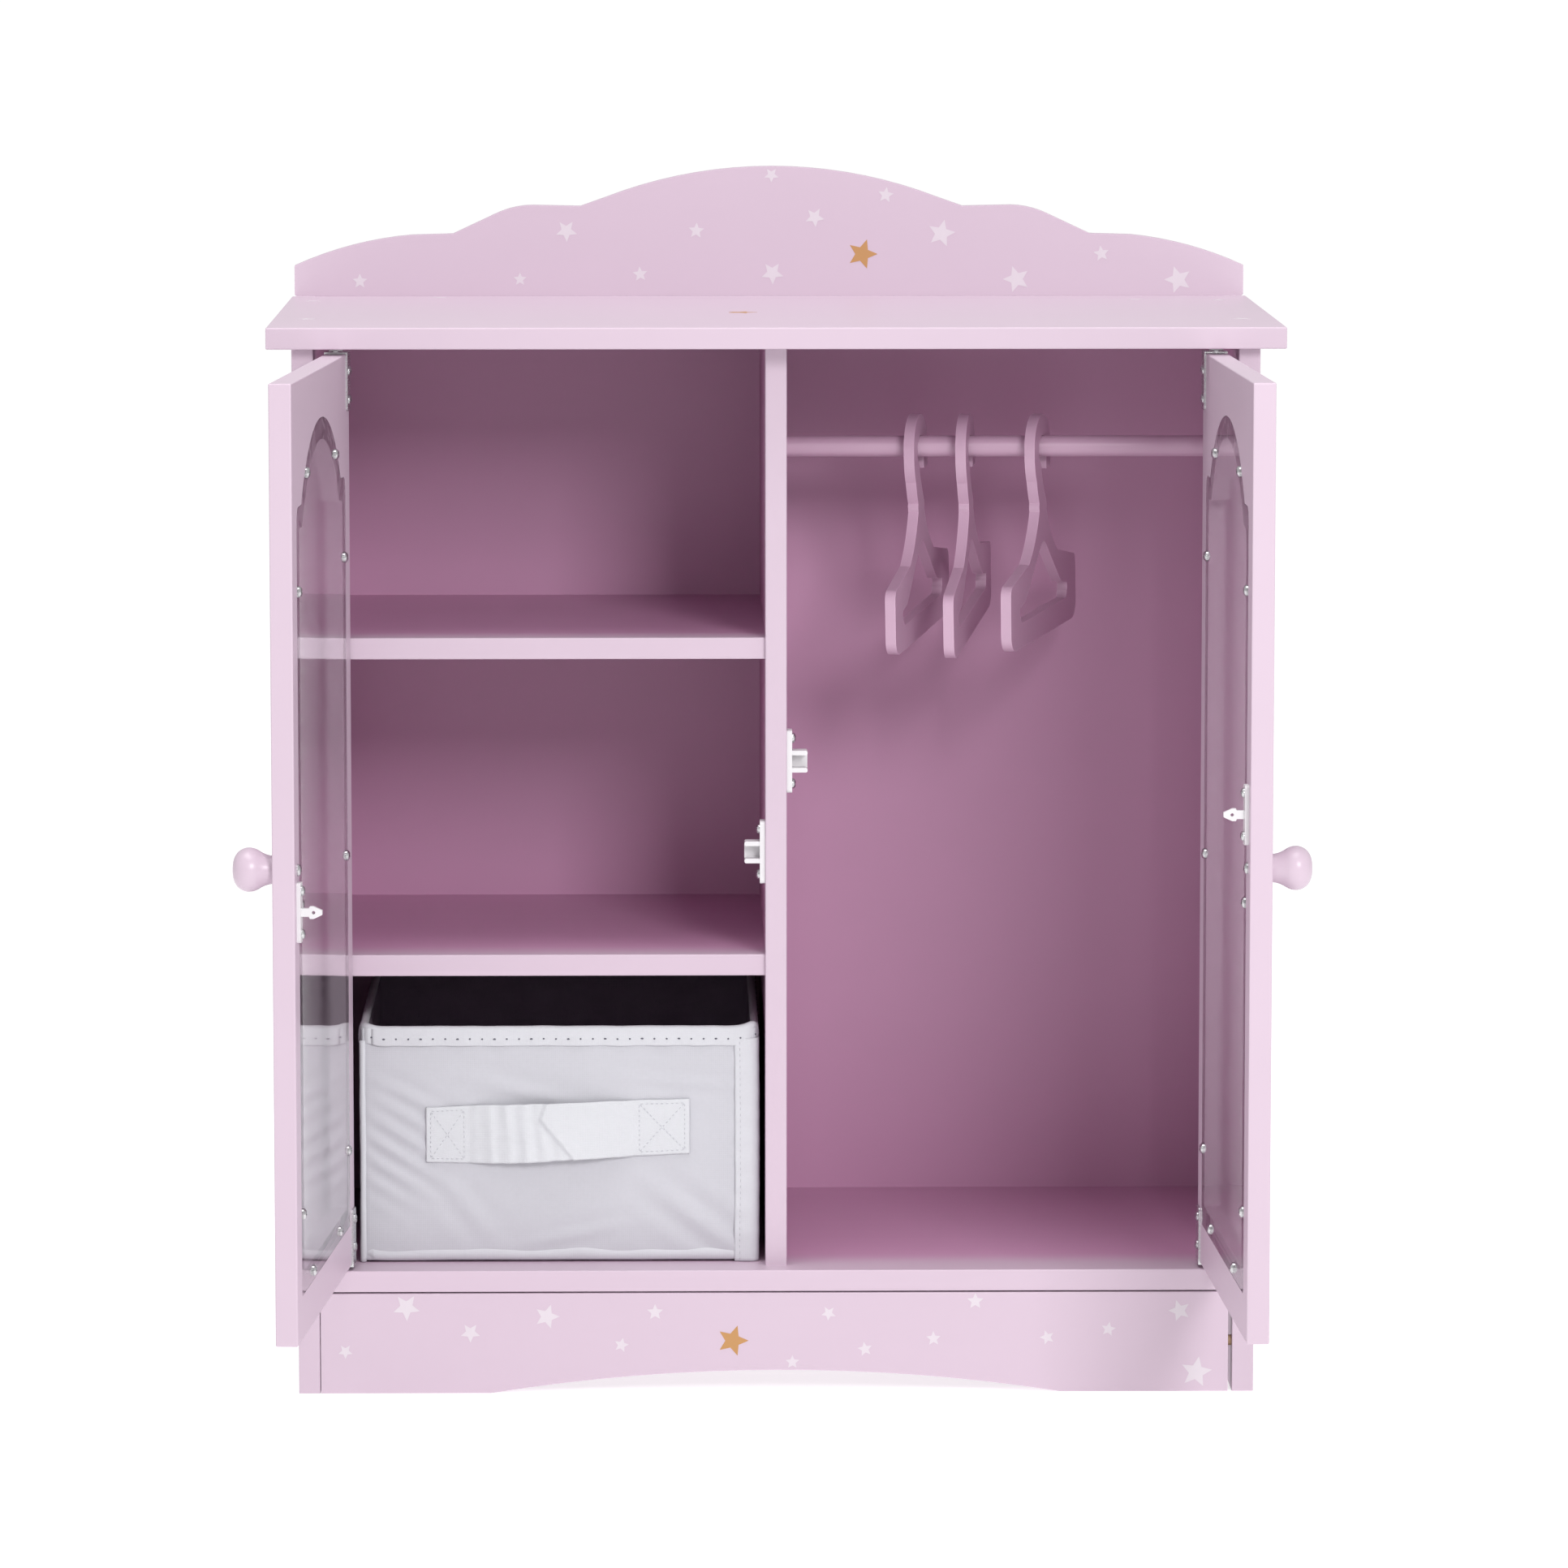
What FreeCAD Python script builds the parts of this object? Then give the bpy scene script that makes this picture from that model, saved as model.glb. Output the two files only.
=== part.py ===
import FreeCAD, Part
import math
import os

import Sketcher

# A doll's wardrobe of painted board: a carcass with two inset doors on pivot hinges, a
# cloud-topped crest behind the top, two shelves and a pull-out fabric bin on the left, and
# a rail with three flat hangers on the right.
#
# Frame: millimetres, +Z up, the floor at Z = 0, the front edges of the carcass at Y = 0
# with +Y going in, and X = 0 half way between the side panels. "Left" is at -X, as seen
# from the front. The doors stand open, which is also the rest position of their hinges.

Vector = FreeCAD.Vector
Rotation = FreeCAD.Rotation
Placement = FreeCAD.Placement

DRIVING_SIZES = [
    # alias, value (mm, or degrees for angles), meaning
    ("board", 12, "thickness of every painted board"),
    ("carcass_width", 535, "outside width across the side panels"),
    ("carcass_depth", 292, "depth of the side panels"),
    ("side_height", 586, "height of the side panels, up to the top board"),
    ("overhang", 13.5, "overhang of the top board at the front and sides"),
    ("base_top", 69.5, "height of the base board's upper face"),
    ("back_front", 270, "depth of the back panel's inner face"),
    ("back_thick", 5, "thickness of the back panel"),
    ("groove", 5, "depth of the back panel's grooves in the side panels"),
    ("setback", 15, "distance of the divider behind the front edges"),
    ("shelf_setback", 18.2, "distance of the shelves behind the front edges, clear of the door's heel"),
    ("lower_shelf_top", 245.5, "height of the lower shelf's upper face"),
    ("upper_shelf_top", 423.5, "height of the upper shelf's upper face"),
    ("plinth_height", 56.7, "height of the plinth board"),
    ("plinth_gap", 2.3, "gap between the plinth board and the right side panel"),
    ("plinth_joint", 0.4, "hairline joint between the plinth board and the left side panel"),
    ("arch_half", 160, "half the span of the arch under the plinth"),
    ("arch_rise", 12.8, "rise of the arch under the plinth"),
    ("crest_half", 279.4, "half the width of the crest above the top"),
    ("crest_middle", 1.3, "how far the crest's lobes sit to the right of the middle"),
    ("crest_drop", 40, "how far the crest reaches down behind the carcass"),
    ("edge_round", 0.8, "rounding of the painted edges"),
    ("dowel", 6, "diameter of the wooden dowels"),
    ("dowel_long", 22, "length of the wooden dowels"),
    ("slack", 0.05, "radial slack round every shank, dowel and pin"),
    ("pivot_in", 12.2, "distance of a door's pivot from the side panel's inner face"),
    ("hinge_end", 10.2, "door width on the hinge side of the pivot"),
    ("door_reach", 242.2, "door width from the pivot to the free edge"),
    ("door_bottom", 72.5, "height of the doors' lower edges"),
    ("door_top", 582.5, "height of the doors' upper edges"),
    ("left_open", 94.5, "rest angle of the left door, in degrees from closed"),
    ("right_open", 92, "rest angle of the right door, in degrees from closed"),
    ("pane_half", 107, "half the width of the window rebate"),
    ("pane_bottom", 96, "height of the window rebate's lower edge"),
    ("pane_step", 516, "height of the window rebate's shoulders"),
    ("arch_span", 87, "half the span of the window arch at the shoulders"),
    ("window_rise", 40, "rise of the window arch above the shoulders"),
    ("rebate", 2, "depth of the window rebate, and thickness of the pane"),
    ("ledge", 12, "width of the ledge that the pane sits on"),
    ("pane_slack", 0.3, "gap round the edge of the pane"),
    ("pin", 4, "diameter of the pivot pins"),
    ("bracket", 1, "thickness of the hinge brackets"),
    ("leg", 31.5, "length of a hinge bracket's upright leg"),
    ("knob_height", 325.5, "height of the knobs"),
    ("knob_inset", 12, "distance of the knobs from the doors' free edges"),
    ("left_catch", 303, "height of the left door's catch"),
    ("right_catch", 354, "height of the right door's catch"),
    ("catch_out", 13.4, "distance of the catches from the middle of the wardrobe"),
    ("jaw_gap", 7.2, "height between the jaws of a catch clip"),
    ("arrow", 6.6, "height of a catch's arrow head"),
    ("rail_height", 520.5, "height of the hanging rail's axis"),
    ("rail_depth", 145, "depth of the hanging rail's axis"),
    ("rail", 12, "diameter of the hanging rail"),
    ("hanger_thick", 6, "thickness of the flat hangers"),
    ("hanger_half", 75, "half the width of the hangers"),
    ("bin_left", -234, "left side of the fabric bin"),
    ("bin_right", -9.7, "right side of the fabric bin"),
    ("bin_front", 27, "front face of the fabric bin"),
    ("bin_back", 258, "rear face of the fabric bin"),
    ("bin_bottom", 69.8, "underside of the fabric bin"),
    ("bin_top", 203.7, "rim of the fabric bin"),
    ("bin_wall", 3, "thickness of the fabric bin's panels"),
]

os.makedirs("parts", exist_ok=True)
doc = FreeCAD.newDocument("DollWardrobe")
sheet = doc.addObject("Spreadsheet::Sheet", "Sizes")
for row, (alias, number, meaning) in enumerate(DRIVING_SIZES, start=1):
    sheet.set(f"A{row}", meaning)
    sheet.set(f"B{row}", str(number))
    sheet.setAlias(f"B{row}", alias)
doc.recompute()


class Size:
    """A number worked out from the sheet, kept with the expression that follows the sheet."""

    def __init__(self, number, text):
        self.number = number
        self.text = text

    def __add__(self, other):
        other = as_size(other)
        return Size(self.number + other.number, f"({self.text} + {other.text})")

    def __sub__(self, other):
        other = as_size(other)
        return Size(self.number - other.number, f"({self.text} - {other.text})")

    def __mul__(self, other):
        other = as_size(other)
        return Size(self.number * other.number, f"({self.text} * {other.text})")

    def __truediv__(self, other):
        other = as_size(other)
        return Size(self.number / other.number, f"({self.text} / {other.text})")

    def __radd__(self, other):
        return as_size(other) + self

    def __rsub__(self, other):
        return as_size(other) - self

    def __rmul__(self, other):
        return as_size(other) * self

    def __neg__(self):
        return Size(-self.number, f"(0 - {self.text})")

    def __lt__(self, other):
        return self.number < as_size(other).number


def as_size(value):
    """A plain number as a Size; a Size as it is."""
    if isinstance(value, Size):
        return value
    return Size(float(value), f"({value:.6g})" if value < 0 else f"{value:.6g}")


def size(alias):
    """The sheet's cell of this name as a Size."""
    return Size(float(sheet.get(alias)), f"Sizes.{alias}")


def root(value):
    """The square root of a Size."""
    return Size(math.sqrt(value.number), f"sqrt({value.text})")


# ---------------------------------------------------------------- sketches and features

PLANE_OF_AXIS = {"X": "YZ", "Y": "XZ", "Z": "XY"}


def new_body(label):
    """An empty body that will be exported under its label."""
    return doc.addObject("PartDesign::Body", label)


def new_sketch(body, name, axis, height):
    """A sketch across an axis of the body, at a height along that axis."""
    role = PLANE_OF_AXIS[axis] + "_Plane"
    planes = [feature for feature in body.Origin.OriginFeatures if feature.Role == role]
    # The XZ plane faces -Y, so its offset runs backwards.
    offset = -as_size(height) if axis == "Y" else as_size(height)
    sketch = body.newObject("Sketcher::SketchObject", f"{body.Name}_{name}_sketch")
    sketch.AttachmentSupport = [(planes[0], "")]
    sketch.MapMode = "FlatFace"
    sketch.AttachmentOffset = Placement(Vector(0, 0, offset.number), Rotation())
    sketch.setExpression("AttachmentOffset.Base.z", offset.text)
    return sketch


def bind(sketch, constraint, value):
    """Add a constraint and tie its value to the sheet."""
    index = sketch.addConstraint(constraint)
    name = f"size{index}"
    sketch.renameConstraint(index, name)
    sketch.setExpression(f"Constraints.{name}", value.text)


def pin_point(sketch, geometry, position, across, up):
    """Fix a point of a sketch by its two coordinates."""
    across_value = as_size(across)
    up_value = as_size(up)
    if across_value.number == 0:
        sketch.addConstraint(Sketcher.Constraint("PointOnObject", geometry, position, -2))
    else:
        rule = Sketcher.Constraint("DistanceX", -1, 1, geometry, position, across_value.number)
        bind(sketch, rule, across_value)
    if up_value.number == 0:
        sketch.addConstraint(Sketcher.Constraint("PointOnObject", geometry, position, -1))
    else:
        rule = Sketcher.Constraint("DistanceY", -1, 1, geometry, position, up_value.number)
        bind(sketch, rule, up_value)


def arc_between(start, end, radius, turn):
    """The shorter arc from start to end, bending left for turn = 1 and right for turn = -1."""
    chord = end - start
    half = chord.Length / 2
    rise = math.sqrt(max(radius * radius - half * half, 0.0))
    left = Vector(-chord.y, chord.x, 0).normalize()
    centre = (start + end) * 0.5 + left * (rise * turn)
    first = math.atan2(start.y - centre.y, start.x - centre.x)
    last = math.atan2(end.y - centre.y, end.x - centre.x)
    circle = Part.Circle(centre, Vector(0, 0, 1), radius)
    if turn > 0:
        return Part.ArcOfCircle(circle, first, last)
    return Part.ArcOfCircle(circle, last, first)


def outline(sketch, corners):
    """
    Draw a closed outline. A corner is (across, up), reached by a line from the one before,
    or (across, up, radius, turn), reached by an arc.
    """
    first = sketch.GeometryCount
    count = len(corners)
    ends = []
    for index in range(count):
        here = corners[index]
        there = corners[(index + 1) % count]
        start = Vector(as_size(here[0]).number, as_size(here[1]).number, 0)
        end = Vector(as_size(there[0]).number, as_size(there[1]).number, 0)
        if len(there) == 2:
            sketch.addGeometry(Part.LineSegment(start, end), False)
            ends.append((1, 2))
        else:
            radius = as_size(there[2]).number
            sketch.addGeometry(arc_between(start, end, radius, there[3]), False)
            ends.append((1, 2) if there[3] > 0 else (2, 1))
    for index in range(count):
        following = (index + 1) % count
        joint = Sketcher.Constraint(
            "Coincident", first + index, ends[index][1], first + following, ends[following][0]
        )
        sketch.addConstraint(joint)
    for index in range(count):
        pin_point(sketch, first + index, ends[index][0], corners[index][0], corners[index][1])
        there = corners[(index + 1) % count]
        if len(there) == 4:
            radius = as_size(there[2])
            bind(sketch, Sketcher.Constraint("Radius", first + index, radius.number), radius)


def rectangle(across, up):
    """The corners of a rectangle from its two spans."""
    return [(across[0], up[0]), (across[1], up[0]), (across[1], up[1]), (across[0], up[1])]


def extrude(body, sketch, length, kind):
    """Pad or pocket a sketch by half the length on each side of its plane."""
    before = body.Tip.Shape.Volume if body.Tip else 0.0
    feature = body.newObject(f"PartDesign::{kind}", f"{sketch.Name}_{kind}")
    feature.Profile = sketch
    feature.SideType = "Symmetric"
    feature.Length = as_size(length).number
    feature.setExpression("Length", as_size(length).text)
    doc.recompute()
    after = feature.Shape.Volume
    if (kind == "Pad") != (after > before):
        raise RuntimeError(f"{feature.Name} changed nothing: {before:.1f} to {after:.1f}")
    return feature


def extrude_outline(body, name, axis, span, corners, kind):
    """Pad or pocket an outline over a span of an axis."""
    sketch = new_sketch(body, name, axis, (span[0] + span[1]) / 2)
    outline(sketch, corners)
    return extrude(body, sketch, span[1] - span[0], kind)


def extrude_box(body, name, x, y, z, kind):
    """Pad or pocket a box given by its three spans."""
    return extrude_outline(body, name, "Z", z, rectangle(x, y), kind)


def drill(body, name, axis, span, diameter, points):
    """Pocket round holes over a span of an axis; points lie in the plane across it."""
    sketch = new_sketch(body, name, axis, (span[0] + span[1]) / 2)
    bore = as_size(diameter)
    for index, (across, up) in enumerate(points):
        centre = Vector(as_size(across).number, as_size(up).number, 0)
        circle = Part.Circle(centre, Vector(0, 0, 1), bore.number / 2)
        sketch.addGeometry(circle, False)
        pin_point(sketch, index, 3, across, up)
        bind(sketch, Sketcher.Constraint("Diameter", index, bore.number), bore)
    return extrude(body, sketch, span[1] - span[0], "Pocket")


def round_edges(body, radius, picked):
    """Round the edges of the body's last feature whose ends and direction are picked."""
    base = body.Tip
    names = []
    for index, edge in enumerate(base.Shape.Edges, start=1):
        ends = [vertex.Point for vertex in edge.Vertexes]
        if picked(ends[0], ends[-1]):
            names.append(f"Edge{index}")
    fillet = body.newObject("PartDesign::Fillet", f"{body.Name}_round")
    fillet.Base = (base, names)
    fillet.Radius = as_size(radius).number
    fillet.setExpression("Radius", as_size(radius).text)
    doc.recompute()
    return fillet


def along(axis):
    """A picker of the edges that run along an axis."""
    def picked(start, end):
        step = end - start
        others = {"X": (step.y, step.z), "Y": (step.x, step.z), "Z": (step.x, step.y)}[axis]
        return step.Length > 0.5 and max(abs(other) for other in others) < 0.01
    return picked


def along_at(axis, across_axis, value):
    """A picker of the edges that run along one axis at a value of another."""
    parallel = along(axis)
    index = "XYZ".index(across_axis)
    level = as_size(value).number

    def picked(start, end):
        return parallel(start, end) and abs(start[index] - level) < 0.01
    return picked


def place(part, base, turn=None):
    """Put a sub-part in its place, with its position tied to the sheet."""
    sizes = [as_size(value) for value in base]
    point = Vector(*[value.number for value in sizes])
    part.Placement = Placement(point, turn or Rotation())
    for letter, value in zip("xyz", sizes):
        part.setExpression(f"Placement.Base.{letter}", value.text)


# ----------------------------------------------------------------------- small fasteners

HEAD_CROSS_WIDTH = 0.7
HEAD_CROSS_DEPTH = 0.7


def revolved(profile):
    """A solid turned about +Z from (radius, height) points."""
    points = [Vector(radius, 0, height) for radius, height in profile]
    points.append(points[0])
    face = Part.Face(Part.makePolygon(points))
    return face.revolve(Vector(0, 0, 0), Vector(0, 0, 1), 360)


def cross_recess(reach, top, depth):
    """The cross cut in a screw's head, from its top downwards."""
    half = HEAD_CROSS_WIDTH / 2
    low = Vector(-reach, -half, top - depth)
    bar = Part.makeBox(2 * reach, 2 * half, depth + 1, low)
    turned = bar.copy()
    turned.rotate(Vector(0, 0, 0), Vector(0, 0, 1), 90)
    return bar.fuse(turned)


def pan_screw(head, head_height, shank, length):
    """A pan-head screw: head on +Z from the seat at Z = 0, shank down to -length."""
    head_radius = head / 2
    shank_radius = shank / 2
    rim = head_height * 0.35
    dome = Part.Arc(
        Vector(head_radius, 0, rim),
        Vector(head_radius * 0.74, 0, head_height * 0.86),
        Vector(0, 0, head_height),
    )
    side = Part.makePolygon([
        Vector(0, 0, head_height),
        Vector(0, 0, -length),
        Vector(shank_radius * 0.4, 0, -length),
        Vector(shank_radius, 0, -length + shank),
        Vector(shank_radius, 0, 0),
        Vector(head_radius, 0, 0),
        Vector(head_radius, 0, rim),
    ])
    wire = Part.Wire(side.Edges + [dome.toShape()])
    solid = Part.Face(wire).revolve(Vector(0, 0, 0), Vector(0, 0, 1), 360)
    return solid.cut(cross_recess(head_radius * 0.62, head_height, HEAD_CROSS_DEPTH))


def countersunk_screw(head, shank, length):
    """A countersunk screw whose head is level with Z = 0, shank down to -length."""
    head_radius = head / 2
    shank_radius = shank / 2
    sink = head_radius - shank_radius
    profile = [
        (0, 0),
        (0, -length),
        (shank_radius * 0.4, -length),
        (shank_radius, -length + shank),
        (shank_radius, -sink),
        (head_radius, 0),
    ]
    solid = revolved(profile)
    return solid.cut(cross_recess(head_radius * 0.6, 0, HEAD_CROSS_DEPTH))


def facing(direction):
    """The turn that takes +Z to a direction."""
    return Rotation(Vector(0, 0, 1), Vector(*direction))


def fastener_group(label, template, spots):
    """One sub-part of equal fasteners; each spot is (point, direction the head faces)."""
    solids = []
    for point, direction in spots:
        copy = template.copy()
        copy.Placement = Placement(Vector(*[as_size(v).number for v in point]), facing(direction))
        solids.append(copy)
    group = doc.addObject("Part::Feature", label)
    group.Shape = Part.makeCompound(solids)
    return group


# ------------------------------------------------------------------------ named positions

BOARD = size("board")
SLACK = size("slack")
EDGE = size("edge_round")
HALF = size("carcass_width") / 2
INNER = HALF - BOARD
DEPTH = size("carcass_depth")
TOP_UNDER = size("side_height")
TOP_FACE = TOP_UNDER + BOARD
BASE_TOP = size("base_top")
BASE_UNDER = BASE_TOP - BOARD
BACK = size("back_front")
BACK_REAR = BACK + size("back_thick")
SETBACK = size("setback")
SHELF_FRONT = size("shelf_setback")
SHELVES = (("lower_shelf", size("lower_shelf_top")), ("upper_shelf", size("upper_shelf_top")))
DOWEL_HOLE = size("dowel") + SLACK * 2
SCREW_HOLE = Size(3.5, "3.5") + SLACK * 2
PIVOT_X = INNER - size("pivot_in")
PIVOT_Y = BOARD / 2
BUSH_HOLE = Size(6.0, "6") + SLACK * 2
BUSH_DEEP = 8.2
DOWEL_IN_EDGE = 14
DOWEL_IN_FACE = 8
TOP_DOWEL_DEPTHS = (60, 230)
BASE_SCREW_DEPTHS = (50, 220)
SHELF_SCREW_DEPTHS = (60, 225)
CREST_SCREWS_X = (-200, -100, 0, 100, 200)
CREST_SCREW_Z = TOP_FACE - 6
CREST_FOOT_Z = TOP_UNDER - 16
CLIP_PLATE = 3
CLIP_SCREW_RISE = 12.8
CLIP_DEPTH = 22.5
BACK_SCREWS = (
    [(0, height) for height in (130, 330, 540)]
    + [(x, 239.5) for x in (-190, -70)]
    + [(x, 417.5) for x in (-190, -70)]
    + [(x, 63.5) for x in (-200, -70, 70, 200)]
)

screw_spots = []
dowel_spots = []

# ------------------------------------------------------------------------- carcass boards


def side_panel(sign):
    """A side panel, grooved for the back panel and bored for its neighbours."""
    name = "left" if sign < 0 else "right"
    body = new_body(f"side_panel_{name}")
    faces = (sign * INNER, sign * HALF)
    x_span = (min(faces), max(faces))
    extrude_outline(body, "blank", "X", x_span, rectangle((0, DEPTH), (0, TOP_UNDER)), "Pad")
    round_edges(body, EDGE, along("Z"))
    cut = (sign * (INNER - 1), sign * (INNER + size("groove")))
    groove_x = (min(cut), max(cut))
    extrude_box(body, "groove", groove_x, (BACK, BACK_REAR), (BASE_UNDER, TOP_UNDER + 1), "Pocket")
    middle = sign * (INNER + BOARD / 2)
    top_points = [(middle, depth) for depth in TOP_DOWEL_DEPTHS]
    top_span = (TOP_UNDER - DOWEL_IN_EDGE, TOP_UNDER + 1)
    drill(body, "top_dowels", "Z", top_span, DOWEL_HOLE, top_points)
    inner_cut = (sign * (INNER - 1), sign * (INNER + DOWEL_IN_FACE))
    inner_span = (min(inner_cut), max(inner_cut))
    plinth_point = [(BOARD / 2, 28)]
    drill(body, "plinth_dowel", "X", inner_span, DOWEL_HOLE, plinth_point)
    through_cut = (sign * (INNER - 1), sign * (HALF + 1))
    through = (min(through_cut), max(through_cut))
    points = [(depth, BASE_UNDER + 6) for depth in BASE_SCREW_DEPTHS]
    if sign < 0:
        for _, top in SHELVES:
            points += [(depth, top - 6) for depth in SHELF_SCREW_DEPTHS]
    drill(body, "screws", "X", through, SCREW_HOLE, points)
    sink_cut = (sign * (HALF - 1.8), sign * (HALF + 1.8))
    sink = (min(sink_cut), max(sink_cut))
    drill(body, "countersinks", "X", sink, Size(7.2, "7.2"), points)
    for depth, height in points:
        screw_spots.append(((sign * HALF, depth, height), (sign, 0, 0)))
    crest_span = (DEPTH - 15, DEPTH + 1)
    drill(body, "crest_screw", "Y", crest_span, SCREW_HOLE, [(middle, CREST_FOOT_Z)])
    if sign > 0:
        rail_span = (INNER - 1, INNER + 6)
        rail_hole = size("rail") + SLACK * 2
        rail_point = [(size("rail_depth"), size("rail_height"))]
        drill(body, "rail_socket", "X", rail_span, rail_hole, rail_point)
    return body


side_panels = [side_panel(-1), side_panel(1)]

top_board = new_body("top_board")
TOP_HALF = HALF + size("overhang")
extrude_box(
    top_board, "blank", (-TOP_HALF, TOP_HALF), (-size("overhang"), DEPTH), (TOP_UNDER, TOP_FACE), "Pad"
)
round_edges(top_board, EDGE, lambda start, end: True)
dowel_columns = [-(INNER + BOARD / 2), INNER + BOARD / 2, Size(0.0, "0")]
top_points = [(x, depth) for x in dowel_columns for depth in TOP_DOWEL_DEPTHS]
drill(top_board, "dowels", "Z", (TOP_UNDER - 1, TOP_UNDER + DOWEL_IN_FACE), DOWEL_HOLE, top_points)
for x, depth in top_points:
    dowel_spots.append(((x, depth, TOP_UNDER - DOWEL_IN_EDGE), (0, 0, 1)))
pivots = [(-PIVOT_X, PIVOT_Y), (PIVOT_X, PIVOT_Y)]
drill(top_board, "bushes", "Z", (TOP_UNDER - 1, TOP_UNDER + BUSH_DEEP), BUSH_HOLE, pivots)
crest_points = [(x, CREST_SCREW_Z) for x in CREST_SCREWS_X]
drill(top_board, "crest_screws", "Y", (DEPTH - 15, DEPTH + 1), SCREW_HOLE, crest_points)

base_board = new_body("base_board")
extrude_box(base_board, "blank", (-INNER, INNER), (0, BACK), (BASE_UNDER, BASE_TOP), "Pad")
round_edges(base_board, EDGE, along_at("X", "Y", 0))
drill(base_board, "bushes", "Z", (BASE_TOP - BUSH_DEEP, BASE_TOP + 1), BUSH_HOLE, pivots)
for sign in (-1, 1):
    cut = (sign * (INNER - 19), sign * (INNER + 1))
    span = (min(cut), max(cut))
    points = [(depth, BASE_UNDER + 6) for depth in BASE_SCREW_DEPTHS]
    drill(base_board, f"side_screws_{sign + 1}", "X", span, SCREW_HOLE, points)
divider_points = [(0, depth) for depth in SHELF_SCREW_DEPTHS]
drill(base_board, "divider_screws", "Z", (BASE_UNDER - 1, BASE_TOP + 1), SCREW_HOLE, divider_points)
sink = (BASE_UNDER - 1.8, BASE_UNDER + 1.8)
drill(base_board, "countersinks", "Z", sink, Size(7.2, "7.2"), divider_points)
for x, depth in divider_points:
    screw_spots.append(((x, depth, BASE_UNDER), (0, 0, -1)))
base_back = [(x, z) for x, z in BACK_SCREWS if z < 100]
drill(base_board, "back_screws", "Y", (BACK - 12.5, BACK + 1), Size(2.6, "2.6"), base_back)

divider = new_body("divider_panel")
divider_x = (-(BOARD / 2), BOARD / 2)
extrude_box(divider, "blank", divider_x, (SETBACK, BACK), (BASE_TOP, TOP_UNDER), "Pad")
round_edges(divider, EDGE, along_at("Z", "Y", SETBACK))
top_points = [(0, depth) for depth in TOP_DOWEL_DEPTHS]
drill(divider, "top_dowels", "Z", (TOP_UNDER - DOWEL_IN_EDGE, TOP_UNDER + 1), DOWEL_HOLE, top_points)
drill(divider, "base_screws", "Z", (BASE_TOP - 1, BASE_TOP + 19), SCREW_HOLE, divider_points)
shelf_points = [(depth, top - 6) for _, top in SHELVES for depth in SHELF_SCREW_DEPTHS]
drill(divider, "shelf_dowels", "X", (-(BOARD / 2) - 1, Size(0.0, "0")), DOWEL_HOLE, shelf_points)
rail_span = (Size(0.0, "0"), BOARD / 2 + 1)
rail_point = [(size("rail_depth"), size("rail_height"))]
drill(divider, "rail_socket", "X", rail_span, size("rail") + SLACK * 2, rail_point)
divider_back = [(x, z) for x, z in BACK_SCREWS if x == 0]
drill(divider, "back_screws", "Y", (BACK - 12.5, BACK + 1), Size(2.6, "2.6"), divider_back)
clip_hole = Size(2.6, "2.6")
for sign, catch in ((-1, size("left_catch")), (1, size("right_catch"))):
    cut = (sign * (BOARD / 2 - 5.2), sign * (BOARD / 2 + 1))
    span = (min(cut), max(cut))
    points = [(CLIP_DEPTH, catch - CLIP_SCREW_RISE), (CLIP_DEPTH, catch + CLIP_SCREW_RISE)]
    drill(divider, f"clip_screws_{sign + 1}", "X", span, clip_hole, points)

for label, top in SHELVES:
    shelf = new_body(label)
    shelf_x = (-INNER, -(BOARD / 2))
    extrude_box(shelf, "blank", shelf_x, (SHELF_FRONT, BACK), (top - BOARD, top), "Pad")
    round_edges(shelf, EDGE, along_at("X", "Y", SHELF_FRONT))
    points = [(depth, top - 6) for depth in SHELF_SCREW_DEPTHS]
    drill(shelf, "side_screws", "X", (-INNER - 1, -INNER + 19), SCREW_HOLE, points)
    dowel_end = -(BOARD / 2)
    drill(shelf, "dowels", "X", (dowel_end - 16, dowel_end + 1), DOWEL_HOLE, points)
    for depth, height in points:
        dowel_spots.append(((dowel_end - 16, depth, height), (1, 0, 0)))
    shelf_back = [(x, z) for x, z in BACK_SCREWS if abs(top.number - 6 - z) < 1]
    drill(shelf, "back_screws", "Y", (BACK - 12.5, BACK + 1), Size(2.6, "2.6"), shelf_back)

back_panel = new_body("back_panel")
back_half = INNER + size("groove")
extrude_box(back_panel, "blank", (-back_half, back_half), (BACK, BACK_REAR), (BASE_UNDER, TOP_UNDER), "Pad")
drill(back_panel, "screws", "Y", (BACK - 1, BACK_REAR + 1), Size(2.6, "2.6"), BACK_SCREWS)

# The plinth stands flush with the front edges, with a shallow arch cut out of its foot.
plinth = new_body("plinth_board")
PLINTH_LEFT = -INNER + size("plinth_joint")
PLINTH_RIGHT = INNER - size("plinth_gap")
ARCH = size("arch_half")
RISE = size("arch_rise")
arch_radius = (ARCH * ARCH + RISE * RISE) / (RISE * 2)
plinth_outline = [
    (PLINTH_LEFT, 0),
    (-ARCH, 0),
    (ARCH, 0, arch_radius, -1),
    (PLINTH_RIGHT, 0),
    (PLINTH_RIGHT, size("plinth_height")),
    (PLINTH_LEFT, size("plinth_height")),
]
extrude_outline(plinth, "blank", "Y", (Size(0.0, "0"), BOARD), plinth_outline, "Pad")
round_edges(plinth, EDGE, along_at("X", "Z", size("plinth_height")))
dowel_point = [(BOARD / 2, 28)]
drill(plinth, "left_dowel", "X", (-INNER - 1, -INNER + DOWEL_IN_EDGE), DOWEL_HOLE, dowel_point)
right_dowel_start = INNER + DOWEL_IN_FACE - size("dowel_long")
drill(plinth, "right_dowel", "X", (right_dowel_start, PLINTH_RIGHT + 1), DOWEL_HOLE, dowel_point)
dowel_spots.append(((-INNER - DOWEL_IN_FACE, BOARD / 2, 28), (1, 0, 0)))
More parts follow.
